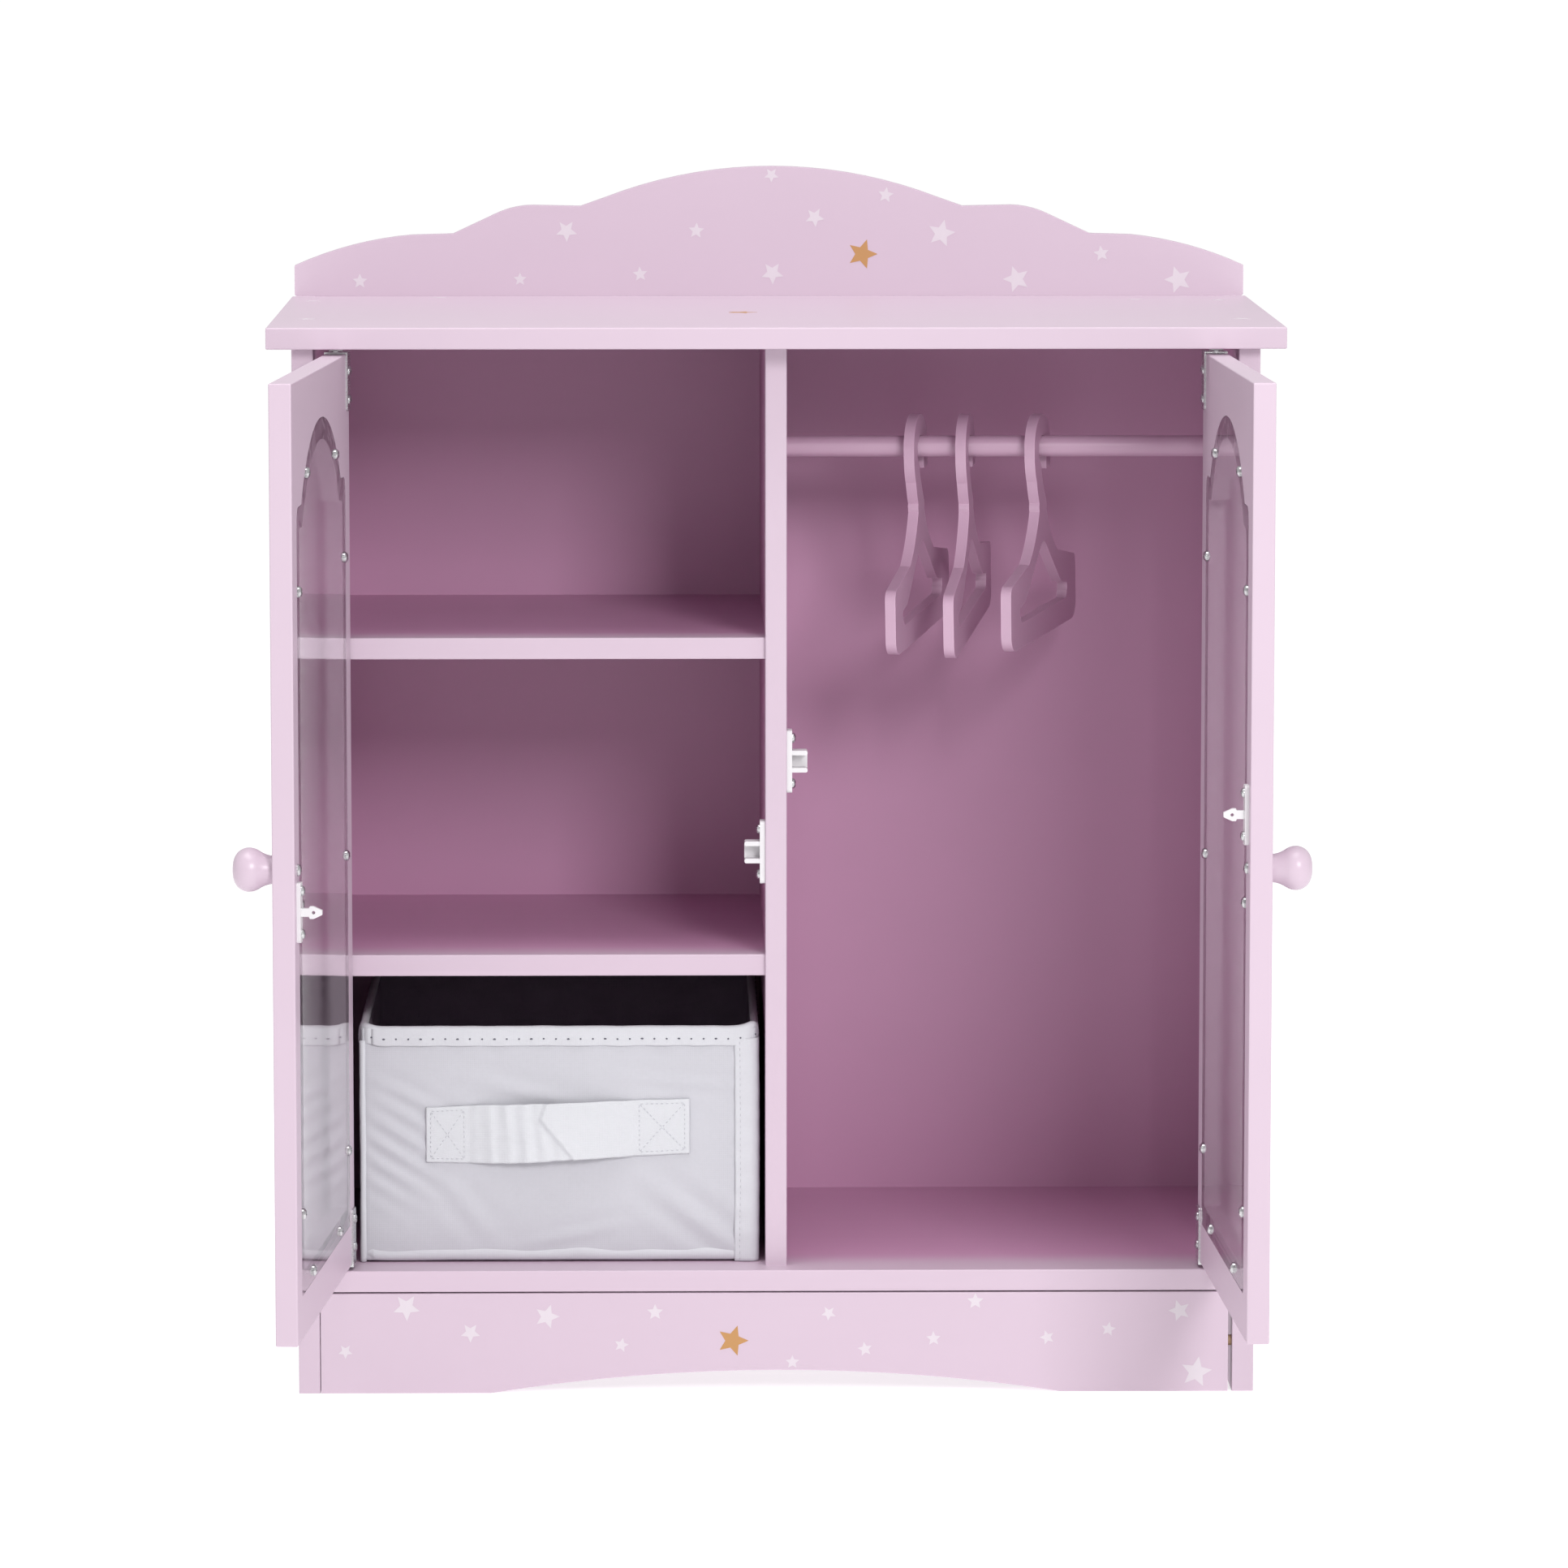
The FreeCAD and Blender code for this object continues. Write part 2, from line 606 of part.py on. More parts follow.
dowel_spots.append(((right_dowel_start, BOARD / 2, 28), (1, 0, 0)))

# The crest: a cloud of five lobes above the top, with a foot screwed on from behind. Each lobe
# starts with a straight rise, rolls over in an arc and runs out nearly level.
crest = new_body("crest_board")
CREST = size("crest_half")
MIDDLE = size("crest_middle")
FOOT = HALF
crest_right = [
    (FOOT, TOP_FACE - size("crest_drop")),
    (FOOT, TOP_FACE),
    (CREST - 1.5, TOP_FACE),
    (CREST, TOP_FACE + 1.5, 1.5, 1),
    (CREST, TOP_FACE + 17.9),
    (MIDDLE + 212, TOP_FACE + 35.8, 211, 1),
    (MIDDLE + 187.5, TOP_FACE + 36.5),
    (MIDDLE + 163, TOP_FACE + 48),
    (MIDDLE + 141, TOP_FACE + 53.3, 52, 1),
    (MIDDLE + 112.5, TOP_FACE + 52.7),
    (MIDDLE + 98, TOP_FACE + 57.8),
]
crest_left = [
    (MIDDLE - 98, TOP_FACE + 57.8, 272, 1),
    (MIDDLE - 112.5, TOP_FACE + 52.7),
    (MIDDLE - 141, TOP_FACE + 53.3),
    (MIDDLE - 163, TOP_FACE + 48, 52, 1),
    (MIDDLE - 187.5, TOP_FACE + 36.5),
    (MIDDLE - 212, TOP_FACE + 35.8),
    (-CREST, TOP_FACE + 17.9, 211, 1),
    (-CREST, TOP_FACE + 1.5),
    (-CREST + 1.5, TOP_FACE, 1.5, 1),
    (-FOOT, TOP_FACE),
    (-FOOT, TOP_FACE - size("crest_drop")),
]
CREST_REAR = DEPTH + BOARD
extrude_outline(crest, "blank", "Y", (DEPTH, CREST_REAR), crest_right + crest_left, "Pad")
feet = [(-(INNER + BOARD / 2), CREST_FOOT_Z), (INNER + BOARD / 2, CREST_FOOT_Z)]
drill(crest, "screws", "Y", (DEPTH - 1, CREST_REAR + 1), SCREW_HOLE, crest_points + feet)

# ------------------------------------------------------------- carcass fittings and rail

rail = doc.addObject("Part::Cylinder", "hanging_rail")
rail.Radius = size("rail").number / 2
rail.setExpression("Radius", (size("rail") / 2).text)
rail.Height = (INNER + 6).number
rail.setExpression("Height", (INNER + 6).text)
place(rail, (0, size("rail_depth"), size("rail_height")), facing((1, 0, 0)))

long_screw = countersunk_screw(6.9, 3.5, 30)
fastener_group("assembly_screws", long_screw, screw_spots)

dowel_pin = Part.makeCylinder(size("dowel").number / 2, size("dowel_long").number)
fastener_group("dowel_pins", dowel_pin, dowel_spots)

crest_screw = pan_screw(6.5, 2.2, 3.5, 26)
crest_spots = [((x, CREST_REAR, z), (0, 1, 0)) for x, z in crest_points + feet]
fastener_group("crest_screws", crest_screw, crest_spots)

panel_screw = pan_screw(5, 1.8, 2.5, 17)
panel_spots = [((x, BACK_REAR, z), (0, 1, 0)) for x, z in BACK_SCREWS]
fastener_group("back_panel_screws", panel_screw, panel_spots)

# Bushes for the door pivots: a barrel pressed into the board and a thrust flange.
UPPER_FLANGE = 1.8
LOWER_FLANGE = 1.5


def bush(flange):
    """A flanged bush standing on its barrel, with the flange on top of Z = 0."""
    barrel = Part.makeCylinder(3, 8, Vector(0, 0, -8))
    collar = Part.makeCylinder(4, flange)
    bore = Part.makeCylinder(size("pin").number / 2 + SLACK.number, 20, Vector(0, 0, -10))
    return barrel.fuse(collar).removeSplitter().cut(bore)


bushes = []
for sign in (-1, 1):
    lower = bush(LOWER_FLANGE)
    lower.Placement = Placement(
        Vector(sign * PIVOT_X.number, PIVOT_Y.number, BASE_TOP.number), Rotation()
    )
    upper = bush(UPPER_FLANGE)
    upper.Placement = Placement(
        Vector(sign * PIVOT_X.number, PIVOT_Y.number, TOP_UNDER.number), facing((0, 0, -1))
    )
    bushes += [lower, upper]
bush_group = doc.addObject("Part::Feature", "pivot_bushes")
bush_group.Shape = Part.makeCompound(bushes)

# Catch clips: a plate on each side of the divider with two jaws and a web behind them.
clip_screw = pan_screw(5.6, 2, 2.5, 8)
clip_screw_spots = []
for sign, name in ((-1, "left"), (1, "right")):
    catch = size(f"{name}_catch")
    clip = new_body(f"{name}_catch_clip")
    plate_cut = (sign * (BOARD / 2), sign * (BOARD / 2 + CLIP_PLATE))
    plate_x = (min(plate_cut), max(plate_cut))
    plate_z = (catch - 17.6, catch + 17.6)
    extrude_box(clip, "plate", plate_x, (17, 28), plate_z, "Pad")
    round_edges(clip, 2, along_at("X", "Z", plate_z[0]))
    round_edges(clip, 2, along_at("X", "Z", plate_z[1]))
    jaw_cut = (sign * (BOARD / 2 + CLIP_PLATE - 1), sign * (BOARD / 2 + 11.6))
    jaw_x = (min(jaw_cut), max(jaw_cut))
    gap = size("jaw_gap") / 2
    jaw = 2.5
    extrude_box(clip, "block", jaw_x, (17.5, 28), (catch - gap - jaw, catch + gap + jaw), "Pad")
    lip_x = jaw_x[1] if sign > 0 else jaw_x[0]
    mouth_cut = (sign * (BOARD / 2 + CLIP_PLATE), sign * (BOARD / 2 + 13))
    mouth = rectangle((min(mouth_cut), max(mouth_cut)), (16, 26.4))
    extrude_outline(clip, "mouth", "Z", (catch - gap, catch + gap), mouth, "Pocket")
    round_edges(clip, 1, along_at("Y", "X", lip_x))
    screw_points = [(CLIP_DEPTH, catch - CLIP_SCREW_RISE), (CLIP_DEPTH, catch + CLIP_SCREW_RISE)]
    hole_cut = (sign * (BOARD / 2 - 1), sign * (BOARD / 2 + CLIP_PLATE + 1))
    drill(clip, "holes", "X", (min(hole_cut), max(hole_cut)), clip_hole, screw_points)
    for depth, height in screw_points:
        spot = (sign * (BOARD / 2 + CLIP_PLATE), depth, height)
        clip_screw_spots.append((spot, (sign, 0, 0)))
fastener_group("catch_clip_screws", clip_screw, clip_screw_spots)

# -------------------------------------------------------------------------------- doors
#
# Each door is drawn closed, with its pivot axis on Z and its own coordinate u growing from
# the pivot towards the free edge; the left door's u is +X and the right door's is -X. The
# inner face is at +Y. Then the whole door is turned open about its pivot.

HINGE_END = size("hinge_end")
REACH = size("door_reach")
DOOR_BOTTOM = size("door_bottom")
DOOR_TOP = size("door_top")
DOOR_MIDDLE = (REACH - HINGE_END) / 2
INNER_FACE = BOARD / 2
ARCH_HALF = size("arch_span")
ARCH_LIFT = size("window_rise")
WINDOW_RADIUS = (ARCH_HALF * ARCH_HALF + ARCH_LIFT * ARCH_LIFT) / (ARCH_LIFT * 2)
PANE_SCREWS = (
    [(side * 101, height) for side in (-1, 1) for height in (139.6, 305.4, 471.2)]
    + [(side * 63, 531) for side in (-1, 1)]
    + [(side * 59, 101.5) for side in (-1, 1)]
)
BRACKET = size("bracket")
BRACKET_SPAN = (-9.5, 3.5)
BRACKET_SCREW_U = -3
BRACKET_SCREWS = (9.5, 25.5)
SPEAR_PLATE = 2


def window_outline(sign, inset, corner):
    """The window's outline in u and Z: straight sides, rounded shoulders and an arched top."""
    half = size("pane_half") - inset
    low = size("pane_bottom") + inset
    step = size("pane_step") - inset
    radius = WINDOW_RADIUS - inset
    rise = size("window_rise")
    span = root(rise * (radius * 2 - rise))
    corner = as_size(corner)
    foot = as_size(3)
    right = [
        (half - foot, low),
        (half, low + foot, foot, 1),
        (half, step - corner),
        (half - corner, step, corner, 1),
        (span, step),
    ]
    left = [
        (-span, step, radius, 1),
        (corner - half, step),
        (-half, step - corner, corner, 1),
        (-half, low + foot),
        (foot - half, low, foot, 1),
    ]
    points = []
    for point in right + left:
        across = (DOOR_MIDDLE + point[0]) * sign
        if len(point) == 2:
            points.append((across, point[1]))
        else:
            points.append((across, point[1], point[2], point[3] * sign))
    return points


def door_span(sign, start, end):
    """A span of u as a span of X."""
    values = (sign * as_size(start), sign * as_size(end))
    return (min(values), max(values))


def knob_profile():
    """Half the outline of a turned knob, as sketch corners of radius and length."""
    return [
        (0, 0),
        (7.4, 0),
        (7.5, 1.2),
        (9.9, 7.9, 15, -1),
        (11.4, 11.2, 10.6, 1),
        (9.1, 19.6, 8.3, 1),
        (3.6, 21.9, 9.5, 1),
        (0, 21.9),
    ]


def build_door(name, sign):
    """All the pieces of one door, each a sub-part of its own."""
    angle = size(f"{name}_open")
    catch = size(f"{name}_catch")
    turn = Rotation(Vector(0, 0, 1), -sign * angle.number)
    pivot = (-sign * PIVOT_X, PIVOT_Y, 0)
    pieces = []
    inner_span = (INNER_FACE - size("rebate"), INNER_FACE + 1)
    through = (-INNER_FACE - 1, INNER_FACE + 1)
    knob_u = REACH - size("knob_inset")
    spear_u = PIVOT_X - size("catch_out")

    panel = new_body(f"{name}_door_panel")
    panel_x = door_span(sign, -HINGE_END, REACH)
    extrude_box(panel, "blank", panel_x, (-INNER_FACE, INNER_FACE), (DOOR_BOTTOM, DOOR_TOP), "Pad")
    round_edges(panel, EDGE, lambda start, end: True)
    extrude_outline(panel, "rebate", "Y", inner_span, window_outline(sign, 0, 8), "Pocket")
    opening = window_outline(sign, size("ledge"), 3)
    extrude_outline(panel, "window", "Y", through, opening, "Pocket")
    pane_points = [((DOOR_MIDDLE + u) * sign, z) for u, z in PANE_SCREWS]
    pane_hole = Size(2.6, "2.6")
    drill(panel, "pane_screws", "Y", (INNER_FACE - 9.2, INNER_FACE), pane_hole, pane_points)
    drill(panel, "knob_screw", "Y", through, Size(3.1, "3.1"), [(knob_u * sign, size("knob_height"))])
    spear_points = [(spear_u * sign, catch - 11.5), (spear_u * sign, catch + 11.5)]
    shallow = (INNER_FACE - 6.2, INNER_FACE + 1)
    bracket_heights = []
    for offset in BRACKET_SCREWS:
        bracket_heights += [DOOR_BOTTOM + offset, DOOR_TOP - offset]
    bracket_points = [(BRACKET_SCREW_U * sign, height) for height in bracket_heights]
    drill(panel, "small_screws", "Y", shallow, Size(2.6, "2.6"), spear_points + bracket_points)
    pin_hole = size("pin") + SLACK * 2
    drill(panel, "lower_pin", "Z", (DOOR_BOTTOM - 1, DOOR_BOTTOM + 6), pin_hole, [(0, 0)])
    drill(panel, "upper_pin", "Z", (DOOR_TOP - 6, DOOR_TOP + 1), pin_hole, [(0, 0)])
    pieces.append(panel)

    pane = new_body(f"{name}_window_pane")
    pane_span = (INNER_FACE - size("rebate"), INNER_FACE)
    pane_outline = window_outline(sign, size("pane_slack"), 7.7)
    extrude_outline(pane, "sheet", "Y", pane_span, pane_outline, "Pad")
    drill(pane, "holes", "Y", (INNER_FACE - 3, INNER_FACE + 1), Size(2.8, "2.8"), pane_points)
    pieces.append(pane)

    pane_screw = pan_screw(6, 1.8, 2.5, 9)
    screw_seats = [((x, INNER_FACE, z), (0, 1, 0)) for x, z in pane_points]
    pieces.append(fastener_group(f"{name}_pane_screws", pane_screw, screw_seats))

    knob = new_body(f"{name}_knob")
    profile = new_sketch(knob, "profile", "Y", 0)
    outline(profile, knob_profile())
    turning = knob.newObject("PartDesign::Revolution", f"{name}_knob_turning")
    turning.Profile = profile
    turning.ReferenceAxis = (profile, ["V_Axis"])
    turning.Angle = 360
    doc.recompute()
    drill(knob, "screw_hole", "Z", (-1, 11.2), Size(3.1, "3.1"), [(0, 0)])
    outward = turn.multiply(facing((0, -1, 0)))
    knob_offset = turn.multVec(Vector(sign * knob_u.number, -INNER_FACE.number, 0))
    knob_base = Vector(pivot[0].number, pivot[1].number, size("knob_height").number) + knob_offset
    knob.Placement = Placement(knob_base, outward)

    knob_screw = pan_screw(6.4, 2, 3, 23)
    knob_seat = [((knob_u * sign, INNER_FACE, size("knob_height")), (0, 1, 0))]
    pieces.append(fastener_group(f"{name}_knob_screw", knob_screw, knob_seat))

    spear = new_body(f"{name}_catch_spear")
    plate_x = door_span(sign, spear_u - 4.5, spear_u + 4.5)
    plate_y = (INNER_FACE, INNER_FACE + SPEAR_PLATE)
    plate_z = (catch - 16, catch + 16)
    extrude_box(spear, "plate", plate_x, plate_y, plate_z, "Pad")
    round_edges(spear, 2, along_at("Y", "Z", plate_z[0]))
    round_edges(spear, 2, along_at("Y", "Z", plate_z[1]))
    root_y = INNER_FACE + SPEAR_PLATE - 0.5
    barb = size("arrow") / 2
    arrow = [
        (root_y, catch - 2.2),
        (root_y + 4.5, catch - 2.2),
        (root_y + 5, catch - barb),
        (root_y + 7, catch - barb),
        (root_y + 11.5, catch - 1.2),
        (root_y + 11.5, catch + 1.2),
        (root_y + 7, catch + barb),
        (root_y + 5, catch + barb),
        (root_y + 4.5, catch + 2.2),
        (root_y, catch + 2.2),
    ]
    extrude_outline(spear, "arrow", "X", door_span(sign, spear_u - 1.3, spear_u + 1.3), arrow, "Pad")
    eye = door_span(sign, spear_u - 3, spear_u + 3)
    drill(spear, "eye", "X", eye, Size(1.8, "1.8"), [(root_y + 7, catch)])
    spear_hole = (INNER_FACE - 1, INNER_FACE + SPEAR_PLATE + 1)
    drill(spear, "holes", "Y", spear_hole, Size(2.6, "2.6"), spear_points)
    pieces.append(spear)

    small_screw = pan_screw(5.4, 1.8, 2.5, 8)
    spear_seats = [((x, INNER_FACE + SPEAR_PLATE, z), (0, 1, 0)) for x, z in spear_points]
    pieces.append(fastener_group(f"{name}_catch_spear_screws", small_screw, spear_seats))

    bracket_x = door_span(sign, BRACKET_SPAN[0], BRACKET_SPAN[1])
    for end, up, edge in (("lower", 1, DOOR_BOTTOM), ("upper", -1, DOOR_TOP)):
        bracket = new_body(f"{name}_{end}_hinge_bracket")
        plate = (edge - up * BRACKET, edge)
        plate_z = (min(plate), max(plate))
        upright = (edge - up * BRACKET, edge + up * size("leg"))
        upright_z = (min(upright), max(upright))
        plate_y = (-INNER_FACE, INNER_FACE + BRACKET)
        extrude_box(bracket, "flat_leg", bracket_x, plate_y, plate_z, "Pad")
        upright_y = (INNER_FACE, INNER_FACE + BRACKET)
        extrude_box(bracket, "upright_leg", bracket_x, upright_y, upright_z, "Pad")
        end_z = edge + up * size("leg")
        round_edges(bracket, 2.5, along_at("Y", "Z", end_z))
        drill(bracket, "pin_hole", "Z", (plate_z[0] - 1, plate_z[1] + 1), pin_hole, [(0, 0)])
        heights = [edge + up * offset for offset in BRACKET_SCREWS]
        points = [(BRACKET_SCREW_U * sign, height) for height in heights]
        hole_span = (INNER_FACE - 0.5, INNER_FACE + BRACKET + 1)
        drill(bracket, "screw_holes", "Y", hole_span, Size(2.6, "2.6"), points)
        pieces.append(bracket)

    hinge_screw = pan_screw(5.4, 1.2, 2.5, 7)
    hinge_seats = [((x, INNER_FACE + BRACKET, z), (0, 1, 0)) for x, z in bracket_points]
    pieces.append(fastener_group(f"{name}_hinge_screws", hinge_screw, hinge_seats))

    pin_radius = size("pin").number / 2
    lower_pin = Part.makeCylinder(pin_radius, 16, Vector(0, 0, DOOR_BOTTOM.number - 10))
    upper_pin = Part.makeCylinder(pin_radius, 16, Vector(0, 0, DOOR_TOP.number - 6))
    pins = doc.addObject("Part::Feature", f"{name}_hinge_pins")
    pins.Shape = Part.makeCompound([lower_pin, upper_pin])
    pieces.append(pins)

    for piece in pieces:
        place(piece, pivot, turn)


build_door("left", 1)
build_door("right", -1)

# ------------------------------------------------------------------------------ hangers
#
# A flat hanger in its own frame: the rail's axis on X, the hanger's width along Y and its
# thickness along X. The hook bulges forwards and its squared tip hangs down behind the rail.

HANGER_HALF = size("hanger_half")


def build_hanger(label, along_rail, yaw, tilt):
    """One flat hanger, hung on the rail and turned a little about the upright."""
    hanger = new_body(label)
    hook_out = 18.5
    profile = [
        (8.3, -13.8),
        (17.6, -13.8),
        (18.4, -2, 60, 1),
        (0, 18.4, 18.6, 1),
        (-18.2, -2, 18.6, 1),
        (-14, -19, 30, 1),
        (-8.2, -32, 60, 1),
        (-8.2, -37, 6, 1),
        (-33, -64, 62, -1),
        (6 - HANGER_HALF, -71),
        (-HANGER_HALF, -77, 6.2, 1),
        (-HANGER_HALF, -99),
        (10 - HANGER_HALF, -109, 10, 1),
        (HANGER_HALF - 10, -109),
        (HANGER_HALF, -99, 10, 1),
        (HANGER_HALF, -77),
        (HANGER_HALF - 6, -71, 6.2, 1),
        (33, -64),
        (8.2, -37, 62, -1),
        (7.2, -31, 8, 1),
        (-3.5, -10.3, 60, -1),
        (-8.4, -2.2, 8.6, -1),
        (0, 6.4, 8.6, -1),
        (8.4, -2.2, 8.6, -1),
    ]
    blank_span = (-size("hanger_thick") / 2, size("hanger_thick") / 2)
    extrude_outline(hanger, "blank", "X", blank_span, profile, "Pad")
    opening = [
        (-50, -95),
        (50, -95),
        (54, -91, 4, 1),
        (54, -86, 4, 1),
        (42, -84),
        (36, -80),
        (6, -57),
        (-6, -57, 9, 1),
        (-36, -80),
        (-42, -84),
        (-54, -86),
        (-54, -91, 4, 1),
    ]
    opening_span = (-size("hanger_thick"), size("hanger_thick"))
    extrude_outline(hanger, "opening", "X", opening_span, opening, "Pocket")
    spin = Rotation(Vector(0, 0, 1), yaw).multiply(Rotation(Vector(1, 0, 0), tilt))
    place(hanger, (along_rail, size("rail_depth"), size("rail_height")), spin)


build_hanger("front_hanger_left", 81.5, -13.7, 4.7)
build_hanger("front_hanger_middle", 109.9, -10.5, 7.3)
build_hanger("front_hanger_right", 151.3, -17, 2.9)

# ---------------------------------------------------------------------------- fabric bin

BIN_X = (size("bin_left"), size("bin_right"))
BIN_Y = (size("bin_front"), size("bin_back"))
BIN_Z = (size("bin_bottom"), size("bin_top"))
WALL = size("bin_wall")
BIN_PANELS = [
    ("bin_front_panel", BIN_X, (BIN_Y[0], BIN_Y[0] + WALL), BIN_Z),
    ("bin_back_panel", BIN_X, (BIN_Y[1] - WALL, BIN_Y[1]), BIN_Z),
    ("bin_left_panel", (BIN_X[0], BIN_X[0] + WALL), (BIN_Y[0] + WALL, BIN_Y[1] - WALL), BIN_Z),
    ("bin_right_panel", (BIN_X[1] - WALL, BIN_X[1]), (BIN_Y[0] + WALL, BIN_Y[1] - WALL), BIN_Z),
    (
        "bin_floor_panel",
        (BIN_X[0] + WALL, BIN_X[1] - WALL),
        (BIN_Y[0] + WALL, BIN_Y[1] - WALL),
        (BIN_Z[0], BIN_Z[0] + WALL),
    ),
]
for label, x_span, y_span, z_span in BIN_PANELS:
    panel = new_body(label)
    extrude_box(panel, "sheet", x_span, y_span, z_span, "Pad")

# The handle: a strap sewn down flat at both ends, its middle standing a little proud.
strap = new_body("bin_handle_strap")
strap_middle = -122.5
strap_face = BIN_Y[0]
strap_outline = [
    (strap_middle - 74, strap_face),
    (strap_middle - 74, strap_face - 1.6),
    (strap_middle - 48, strap_face - 1.6),
    (strap_middle - 20, strap_face - 8.6, 120, -1),
    (strap_middle + 14, strap_face - 8.6),
    (strap_middle + 40, strap_face - 1.6, 120, -1),
    (strap_middle + 74, strap_face - 1.6),
    (strap_middle + 74, strap_face),
    (strap_middle + 40, strap_face),
    (strap_middle + 14, strap_face - 7, 120, 1),
    (strap_middle - 20, strap_face - 7),
    (strap_middle - 48, strap_face, 120, 1),
]
extrude_outline(strap, "band", "Z", (Size(128.5, "128.5"), Size(160.5, "160.5")), strap_outline, "Pad")

# ------------------------------------------------------------------- checks and export

doc.recompute()
SUB_PART_TYPES = ("PartDesign::Body", "Part::Feature", "Part::Cylinder")
for item in doc.Objects:
    if "Invalid" in item.State or "Error" in item.State:
        raise RuntimeError(f"{item.Name} failed: {item.State}")

sub_parts = [item for item in doc.Objects if item.TypeId in SUB_PART_TYPES]
for item in sub_parts:
    if item.Shape.isNull() or not item.Shape.isValid():
        raise RuntimeError(f"{item.Label} has no valid shape")
    item.Shape.exportStep(os.path.join("parts", f"{item.Label}.step"))
    box = item.Shape.BoundBox
    print(
        f"{item.Label:28s} solids {len(item.Shape.Solids):2d} volume {item.Shape.Volume:11.1f} "
        f"x {box.XMin:8.2f} {box.XMax:8.2f} y {box.YMin:8.2f} {box.YMax:8.2f} "
        f"z {box.ZMin:7.2f} {box.ZMax:7.2f}"
    )
print(len(sub_parts), "sub-parts")
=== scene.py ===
"""A doll's wardrobe: painted boards, printed stars, clear windows, small hardware and a cloth storage bin.

Lengths are in metres unless a name ends in _mm. X runs across the front, Y runs from the front edges
to the back and Z is up.
"""

import logging
import math
from dataclasses import dataclass, field
from enum import Enum
from typing import Callable, Iterable, Sequence

import bmesh
import bpy
from mathutils import Matrix, Vector, noise


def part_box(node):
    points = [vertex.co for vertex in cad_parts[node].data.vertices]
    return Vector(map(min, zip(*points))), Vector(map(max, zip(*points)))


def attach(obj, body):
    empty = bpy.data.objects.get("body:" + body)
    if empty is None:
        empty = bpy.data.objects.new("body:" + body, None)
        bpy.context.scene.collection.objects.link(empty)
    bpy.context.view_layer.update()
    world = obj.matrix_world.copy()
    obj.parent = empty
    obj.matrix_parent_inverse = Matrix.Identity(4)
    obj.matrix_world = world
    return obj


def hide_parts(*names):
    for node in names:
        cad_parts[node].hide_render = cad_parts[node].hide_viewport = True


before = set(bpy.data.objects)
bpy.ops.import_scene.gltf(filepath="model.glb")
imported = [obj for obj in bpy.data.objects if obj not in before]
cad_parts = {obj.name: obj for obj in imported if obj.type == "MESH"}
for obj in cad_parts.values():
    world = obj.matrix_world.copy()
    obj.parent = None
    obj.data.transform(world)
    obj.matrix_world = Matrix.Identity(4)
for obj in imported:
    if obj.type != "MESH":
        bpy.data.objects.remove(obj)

log = logging.getLogger("wardrobe")

MM = 0.001
Colour = tuple[float, float, float]
Place = Callable[[float, float], Vector]


# ---------------------------------------------------------------- node wiring


class Wiring:
    """Adds nodes to one node tree and joins them up."""

    def __init__(self, tree: bpy.types.NodeTree) -> None:
        """Starts from an empty tree.

        Args:
            tree: The node tree to fill.
        """
        self.tree = tree
        tree.nodes.clear()

    def add(self, kind: str, inputs: dict | None = None, **settings: object) -> bpy.types.Node:
        """Adds one node.

        Args:
            kind: The node's Blender type.
            inputs: Values or other nodes' output sockets, by the input's name or number.
            settings: Attributes of the node itself.

        Returns:
            The new node.
        """
        node = self.tree.nodes.new(kind)
        for key, value in settings.items():
            setattr(node, key, value)
        for key, value in (inputs or {}).items():
            if isinstance(value, bpy.types.NodeSocket):
                self.tree.links.new(value, node.inputs[key])
            else:
                node.inputs[key].default_value = value
        return node

    def feed(self, node: bpy.types.Node, sockets: dict[str, bpy.types.NodeSocket]) -> None:
        """Links sockets to a node's inputs, by the inputs' names."""
        for name, socket in sockets.items():
            self.tree.links.new(socket, node.inputs[name])

    def own_place(self) -> bpy.types.NodeSocket:
        """Returns the point in the piece's own Object coordinates."""
        return self.add("ShaderNodeTexCoord").outputs["Object"]

    def math(self, operation: str, first: object, second: object = 0.0) -> bpy.types.NodeSocket:
        """Returns the result of a Math node."""
        return self.add("ShaderNodeMath", {0: first, 1: second}, operation=operation).outputs[0]

    def span(self, value: object, low: float, high: float) -> bpy.types.NodeSocket:
        """Returns a 0 to 1 value stretched to run from low to high."""
        return self.add("ShaderNodeMapRange", {"Value": value, "To Min": low, "To Max": high}).outputs[0]

    def blend(self, share: object, first: object, second: object) -> bpy.types.NodeSocket:
        """Returns a colour between two colours."""
        node = self.add("ShaderNodeMix", {0: share, 6: first, 7: second}, data_type="RGBA")
        return node.outputs[2]

    def noise(self, vector: object, scale: float, detail: float = 2.0) -> bpy.types.NodeSocket:
        """Returns a Noise texture's value."""
        values = {"Vector": vector, "Scale": scale, "Detail": detail, "Roughness": 0.55}
        return self.add("ShaderNodeTexNoise", values).outputs["Fac"]

    def stretched(self, vector: object, scale: Sequence[float]) -> bpy.types.NodeSocket:
        """Returns a vector scaled by its own amount on each axis."""
        return self.add("ShaderNodeMapping", {"Vector": vector, "Scale": scale}).outputs[0]


class SocketKind(Enum):
    """The kinds of socket that a shared effect takes or gives."""

    NUMBER = "NodeSocketFloat"
    VECTOR = "NodeSocketVector"
    COLOUR = "NodeSocketColor"


